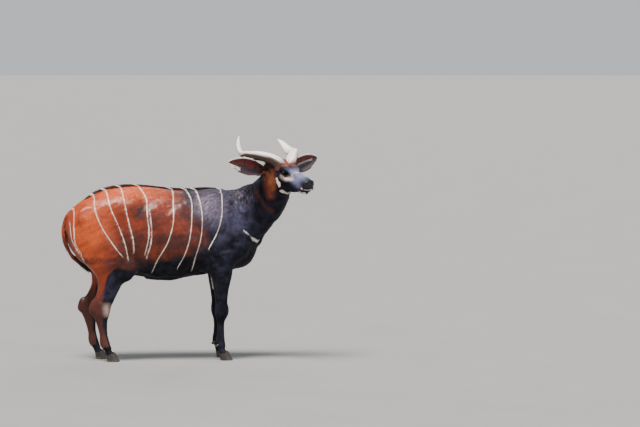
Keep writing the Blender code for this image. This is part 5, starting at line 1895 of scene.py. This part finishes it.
def make_tail_hair(hide, material):
    """Rust hair down the tail, longest on the side towards the haunches."""
    count = TAIL_HAIRS
    share = chance.random(count)
    at, table = smooth_rows([(i, *knot) for i, knot in enumerate(TAIL_KNOTS)])
    x, z, deep, wide = (np.interp(1.6 + 5.2 * share, at, column) for column in table.T)
    angle = chance.uniform(-1.9, 1.9, count)
    out = columns(np.cos(angle), np.sin(angle), 0.0)
    roots = columns(x, 0.0, z) + out * columns(deep, wide, wide) * 0.9
    down = columns(0.10 + 0.55 * smooth(share, 0.45, 1.0), 0.0, -0.85)
    loose = chance.normal(0, 0.07, (count, 3))
    aims = down + 0.55 * out * (np.cos(angle) > 0)[:, None] + 0.12 * out + loose
    bends = down + (0.12, 0, 0) + loose
    length = chance.uniform(0.020, 0.036, count) * (0.65 + 0.35 * np.cos(angle))
    widths = chance.uniform(0.0016, 0.0028, count)
    patch = map_places(hide, roots)
    return locks("tail_hair", roots, aims, bends, length, widths, np.zeros(count), patch, material)


def make_ear_hair(side_name, frame, material):
    """Fringes on both rims, tufts inside the cup and hair round the stem."""
    point, along, face, across = ear_shape(side_name, frame)
    upward = 1.0 if across.z > 0 else -1.0
    roots, aims, bends, lengths, widths, pale, patch = [], [], [], [], [], [], []
    for i in range(FRINGE_HAIRS):
        kind = i % 4
        share = 0.12 + 0.87 * chance.random() ** 0.85
        upper = 1.0 if kind < 2 else -1.0
        if kind == 3 and side_name == "right":
            upper = chance.uniform(-0.85, -0.30)
            share = 0.98 - 0.30 * chance.random() ** 1.6
        elif kind == 3:
            if chance.random() < 0.6:
                continue
            upper = chance.normal(-0.02, 0.05)
            share = chance.uniform(0.45, 0.85)
        edge = upper * upward * (0.985 if kind < 3 else 1.0)
        root = point(share, edge, kind == 3)
        out = across * upper * upward
        tip = along * chance.uniform(0.75, 1.1)
        spread = chance.normal(0, 0.16, 3)
        if kind < 3:
            aim = tip + out * 0.22 + face * 0.06
            bend = tip + out * (0.02 if upper > 0 else 0.10) + face * 0.03
            length = chance.uniform(0.007, 0.017) * (1 if upper > 0 else 1.3)
        else:
            aim = tip * 0.8 + out * 0.2 + face * 0.30
            bend = tip + face * 0.05
            length = chance.uniform(0.014, 0.026)
        white = smooth(share, 0.30, 0.45) if upper > 0.5 else smooth(share, 0.66, 0.80)
        length *= 1 - 0.50 * float(smooth(share, 0.80, 1.0))
        roots.append(tuple(root))
        aims.append(tuple(aim + Vector(spread)))
        bends.append(tuple(bend + Vector(spread)))
        lengths.append(length)
        widths.append(chance.uniform(0.0010, 0.0019))
        pale.append(float(kind == 3 or white > chance.uniform(0.2, 0.8)))
        patch.append((share, 0.5 + 0.45 * edge))
    for _ in range(STEM_HAIRS):
        share, edge = chance.uniform(0.0, 0.22), chance.uniform(-1.0, 1.0)
        root = point(share, edge, False)
        out = (root - point(share, 0.0, True)).normalized()
        aim = along + 0.35 * out + 0.14 * Vector(chance.normal(0, 1, 3))
        roots.append(tuple(root))
        aims.append(tuple(aim))
        bends.append(tuple(aim - 0.20 * out))
        lengths.append(chance.uniform(0.018, 0.036))
        widths.append(chance.uniform(0.0014, 0.0024))
        pale.append(0.0)
        patch.append((share, 0.5 + 0.45 * edge))
    roots = np.array(roots) - np.array(along * 0.004)
    return locks(f"ear_hair_{side_name}", roots, aims, bends, lengths, widths, pale, patch, material)


def make_temple_hair(hide, frame, material):
    """Brown hair that stands up between the ears and the horns."""
    count = TEMPLE_HAIRS
    side = np.where(np.arange(count) % 2 == 0, -1.0, 1.0)
    places = columns(
        chance.uniform(-0.150, -0.075, count),
        side * chance.uniform(0.050, 0.110, count),
        chance.uniform(-0.010, 0.060, count),
    )
    turn = np.array(frame)
    roots = on_skin(hide, places @ turn[:3, :3].T + turn[:3, 3], 0.001)
    ways = columns(-0.55, side * 0.45, 0.55)
    loose = chance.normal(0, 0.16, (count, 3))
    aims = (ways + loose) @ turn[:3, :3].T
    bends = (ways + loose + columns(-0.25, side * 0.3, -0.1)) @ turn[:3, :3].T
    length = chance.uniform(0.022, 0.046, count)
    widths = chance.uniform(0.0016, 0.0028, count)
    patch = map_places(hide, roots)
    return locks("temple_hair", roots, aims, bends, length, widths, np.zeros(count), patch, material)


def make_lashes(hide, frame, material):
    """Lashes on the upper lids, and stiff whiskers round the lips and under the chin."""
    roots, aims, bends, lengths, widths = [], [], [], [], []
    for side in SIDES.values():
        place = eye_frame(side, frame)
        turn = place.to_3x3()
        for i in range(LASHES):
            t = -0.85 + 1.75 * (i + chance.random()) / LASHES
            u = LID_LENGTH * t
            half = LID_HEIGHT * max(1 - (t / 1.02) ** 2, 0) ** 0.62 + 0.0006
            upper = i % 4 != 0
            v = half if upper else -half
            height = math.sqrt(max(EYE_RADIUS**2 - u * u - v * v, 1e-6)) + 0.0015
            roots.append(tuple(place @ Vector((u, v * 1.04, height))))
            lift = 0.35 if upper else -0.3
            aims.append(tuple(turn @ Vector((0.25 * t, lift, 0.9))))
            bends.append(tuple(turn @ Vector((0.45 * t, lift * 3.0 - 0.3 * upper, 0.55))))
            lengths.append((0.0085 if upper else 0.0045) * chance.uniform(0.8, 1.15))
            widths.append(0.00075)
        for _ in range(WHISKERS):
            hx, hz = chance.uniform(0.17, 0.255), chance.uniform(-0.075, -0.015)
            at = Vector((hx, side * 0.060, hz))
            roots.append(tuple(frame @ at))
            aims.append(tuple(frame.to_3x3() @ Vector((0.25, side * 0.9, -0.25))))
            bends.append(tuple(frame.to_3x3() @ Vector((0.15, side * 0.7, -0.75))))
            lengths.append(chance.uniform(0.012, 0.026))
            widths.append(0.0006)
    roots = on_skin(hide, roots, 0.0006)
    pale, patch = np.zeros(len(roots)), map_places(hide, roots)
    return locks("lashes", roots, aims, bends, lengths, widths, pale, patch, material, steps=3)


def on_skin(obj, points, towards):
    """Moves points on to the nearest place of the skin, a little way in."""
    moved = []
    for point in points:
        hit, near, normal, _ = obj.closest_point_on_mesh(Vector(point))
        moved.append(tuple(near - normal * towards) if hit else tuple(point))
    return np.array(moved)


def sun(name, place, power, spread, color):
    """A far, soft light that shines from a place past the middle of the scene."""
    data = bpy.data.lights.new(name, "SUN")
    data.energy = power
    data.angle = math.radians(spread)
    data.color = color
    obj = placed(name, data)
    obj.location = place
    obj.rotation_euler = (-Vector(place)).to_track_quat("-Z", "Y").to_euler()


def make_camera(shift):
    """A long lens from the animal's right, a little in front of square and a little high."""
    a, e = math.radians(CAMERA_TURN), math.radians(CAMERA_RISE)
    right = Vector((math.cos(a), math.sin(a), 0))
    back = Vector((math.sin(a) * math.cos(e), -math.cos(a) * math.cos(e), math.sin(e)))
    aside = (PICTURE_MIDDLE[0] - ORIGIN_PIXEL[0]) * PIXEL
    above = (ORIGIN_PIXEL[1] - PICTURE_MIDDLE[1]) * PIXEL
    target = right * aside + Vector((0, 0, above)) + shift
    data = bpy.data.cameras.new("camera")
    data.lens, data.sensor_width = LENS, SENSOR
    data.clip_end = 500
    obj = placed("camera", data)
    obj.location = target + back * (PICTURE_WIDTH * PIXEL * LENS / SENSOR)
    obj.rotation_euler = (-back).to_track_quat("-Z", "Y").to_euler()
    bpy.context.scene.camera = obj


def make_stage():
    """A wide pale floor, one soft light high in front and two weak ones."""
    bpy.ops.mesh.primitive_circle_add(vertices=96, radius=150, fill_type="NGON")
    floor = bpy.context.object
    floor.name = "floor"
    floor.data.materials.append(floor_material())
    sun("key", (-1.6, -2.5, 7.0), 10.0, 22, (1.0, 0.97, 0.94))
    sun("fill", (4.0, -5.0, 2.4), 0.9, 50, (0.86, 0.92, 1.0))
    sun("back", (2.0, 6.0, 5.0), 1.0, 40, (0.93, 0.96, 1.0))
    world = bpy.data.worlds.new("studio")
    world.use_nodes = True
    background = world.node_tree.nodes["Background"]
    background.inputs["Color"].default_value = (0.92, 0.96, 1.0, 1)
    nodes, links = world.node_tree.nodes, world.node_tree.links
    way = nodes.new("ShaderNodeSeparateXYZ")
    links.new(nodes.new("ShaderNodeTexCoord").outputs["Generated"], way.inputs[0])
    fade = nodes.new("ShaderNodeMapRange")
    for socket, value in zip(list(fade.inputs)[1:5], (0.06, 0.40, 0.66, 0.30)):
        socket.default_value = value
    links.new(way.outputs["Z"], fade.inputs[0])
    links.new(fade.outputs[0], background.inputs["Strength"])
    bpy.context.scene.world = world


def main():
    """Builds every piece in the drawing's frame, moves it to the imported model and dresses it."""
    turn = head_frame()
    forms = skin_forms()
    hide = make_skin(forms)
    points = positions(hide.data)
    _, slope = slope_at(points, forms)
    normals = unit(slope)
    give(hide, markings(points, normals))
    unwrap(hide)
    hide.data.materials.append(coat_material("hide", False))
    pieces = [(hide, "coat_rust", FLESH)]

    def add(made, material, slot, *nodes):
        made.data.materials.append(material)
        pieces.append((made, slot, nodes))

    coat = coat_material("coat", True)
    pieces += [(piece, "coat_rust", ()) for piece in make_coat(hide, forms, coat)]
    bristle = strand_material("bristle", (0.010, 0.008, 0.009), (0.050, 0.030, 0.024))
    ear_fringe = strand_material("ear_fringe", (0.028, 0.012, 0.009), (0.13, 0.036, 0.016))
    pieces.append((make_crest(hide, forms, bristle), "coat_dark", ()))
    pieces.append((make_brush(hide, bristle), "coat_dark", ()))
    tail_fringe = strand_material("tail_fringe", (0.090, 0.016, 0.0080), (0.30, 0.050, 0.015))
    pieces.append((make_tail_hair(hide, tail_fringe), "coat_rust", ()))
    pieces.append((make_temple_hair(hide, turn, ear_fringe), "coat_rust", ()))
    pieces.append((make_lashes(hide, turn, bristle), "coat_dark", ()))

    keratin, nail, wet = horn_material(), hoof_material(), eye_material()
    leather = ear_material("ear")
    for side_name, side in SIDES.items():
        add(horn(f"keeled_horn_{side_name}", side_name, turn), keratin, "horn_keratin", f"horn_{side_name}")
        add(ear(f"cupped_ear_{side_name}", side_name, turn), leather, "coat_dark", f"ear_{side_name}")
        pieces.append((make_ear_hair(side_name, turn, ear_fringe), "coat_dark", ()))
        add(eyeball(f"clear_eye_{side_name}", side, turn), wet, "eye_dark", f"eye_{side_name}")
        for end, middle_x, middle_y, back in (
            ("front", FRONT_CLAW_X, FRONT_CLAW_Y, 0.398),
            ("hind", HIND_CLAW_X, HIND_CLAW_Y, -0.404),
        ):
            step = trails(side) if end == "hind" else 0.0
            for place, way in (("inner", -side), ("outer", side)):
                which = f"{end}_{side_name}_{place}"
                at_y = side * middle_y + way * 0.0188
                made = claw(f"ridged_claw_{which}", middle_x - step + 0.012, at_y, way)
                add(made, nail, "hoof_keratin", f"hoof_{which}")
                at = (back - step - 0.008, side * middle_y + way * 0.020, 0.108)
                add(dewclaw(f"small_claw_{which}", at, way), nail, "hoof_keratin", f"dewclaw_{which}")

    low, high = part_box("eye_left")
    x, y, z = EYE_PLACE
    shift = (low + high) / 2 - turn @ Vector((x, y, z))
    for piece, slot, nodes in pieces:
        piece.data.transform(Matrix.Translation(shift))
        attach(piece, "root")
        if nodes:
            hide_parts(*nodes)
    make_camera(shift)
    make_stage()


main()
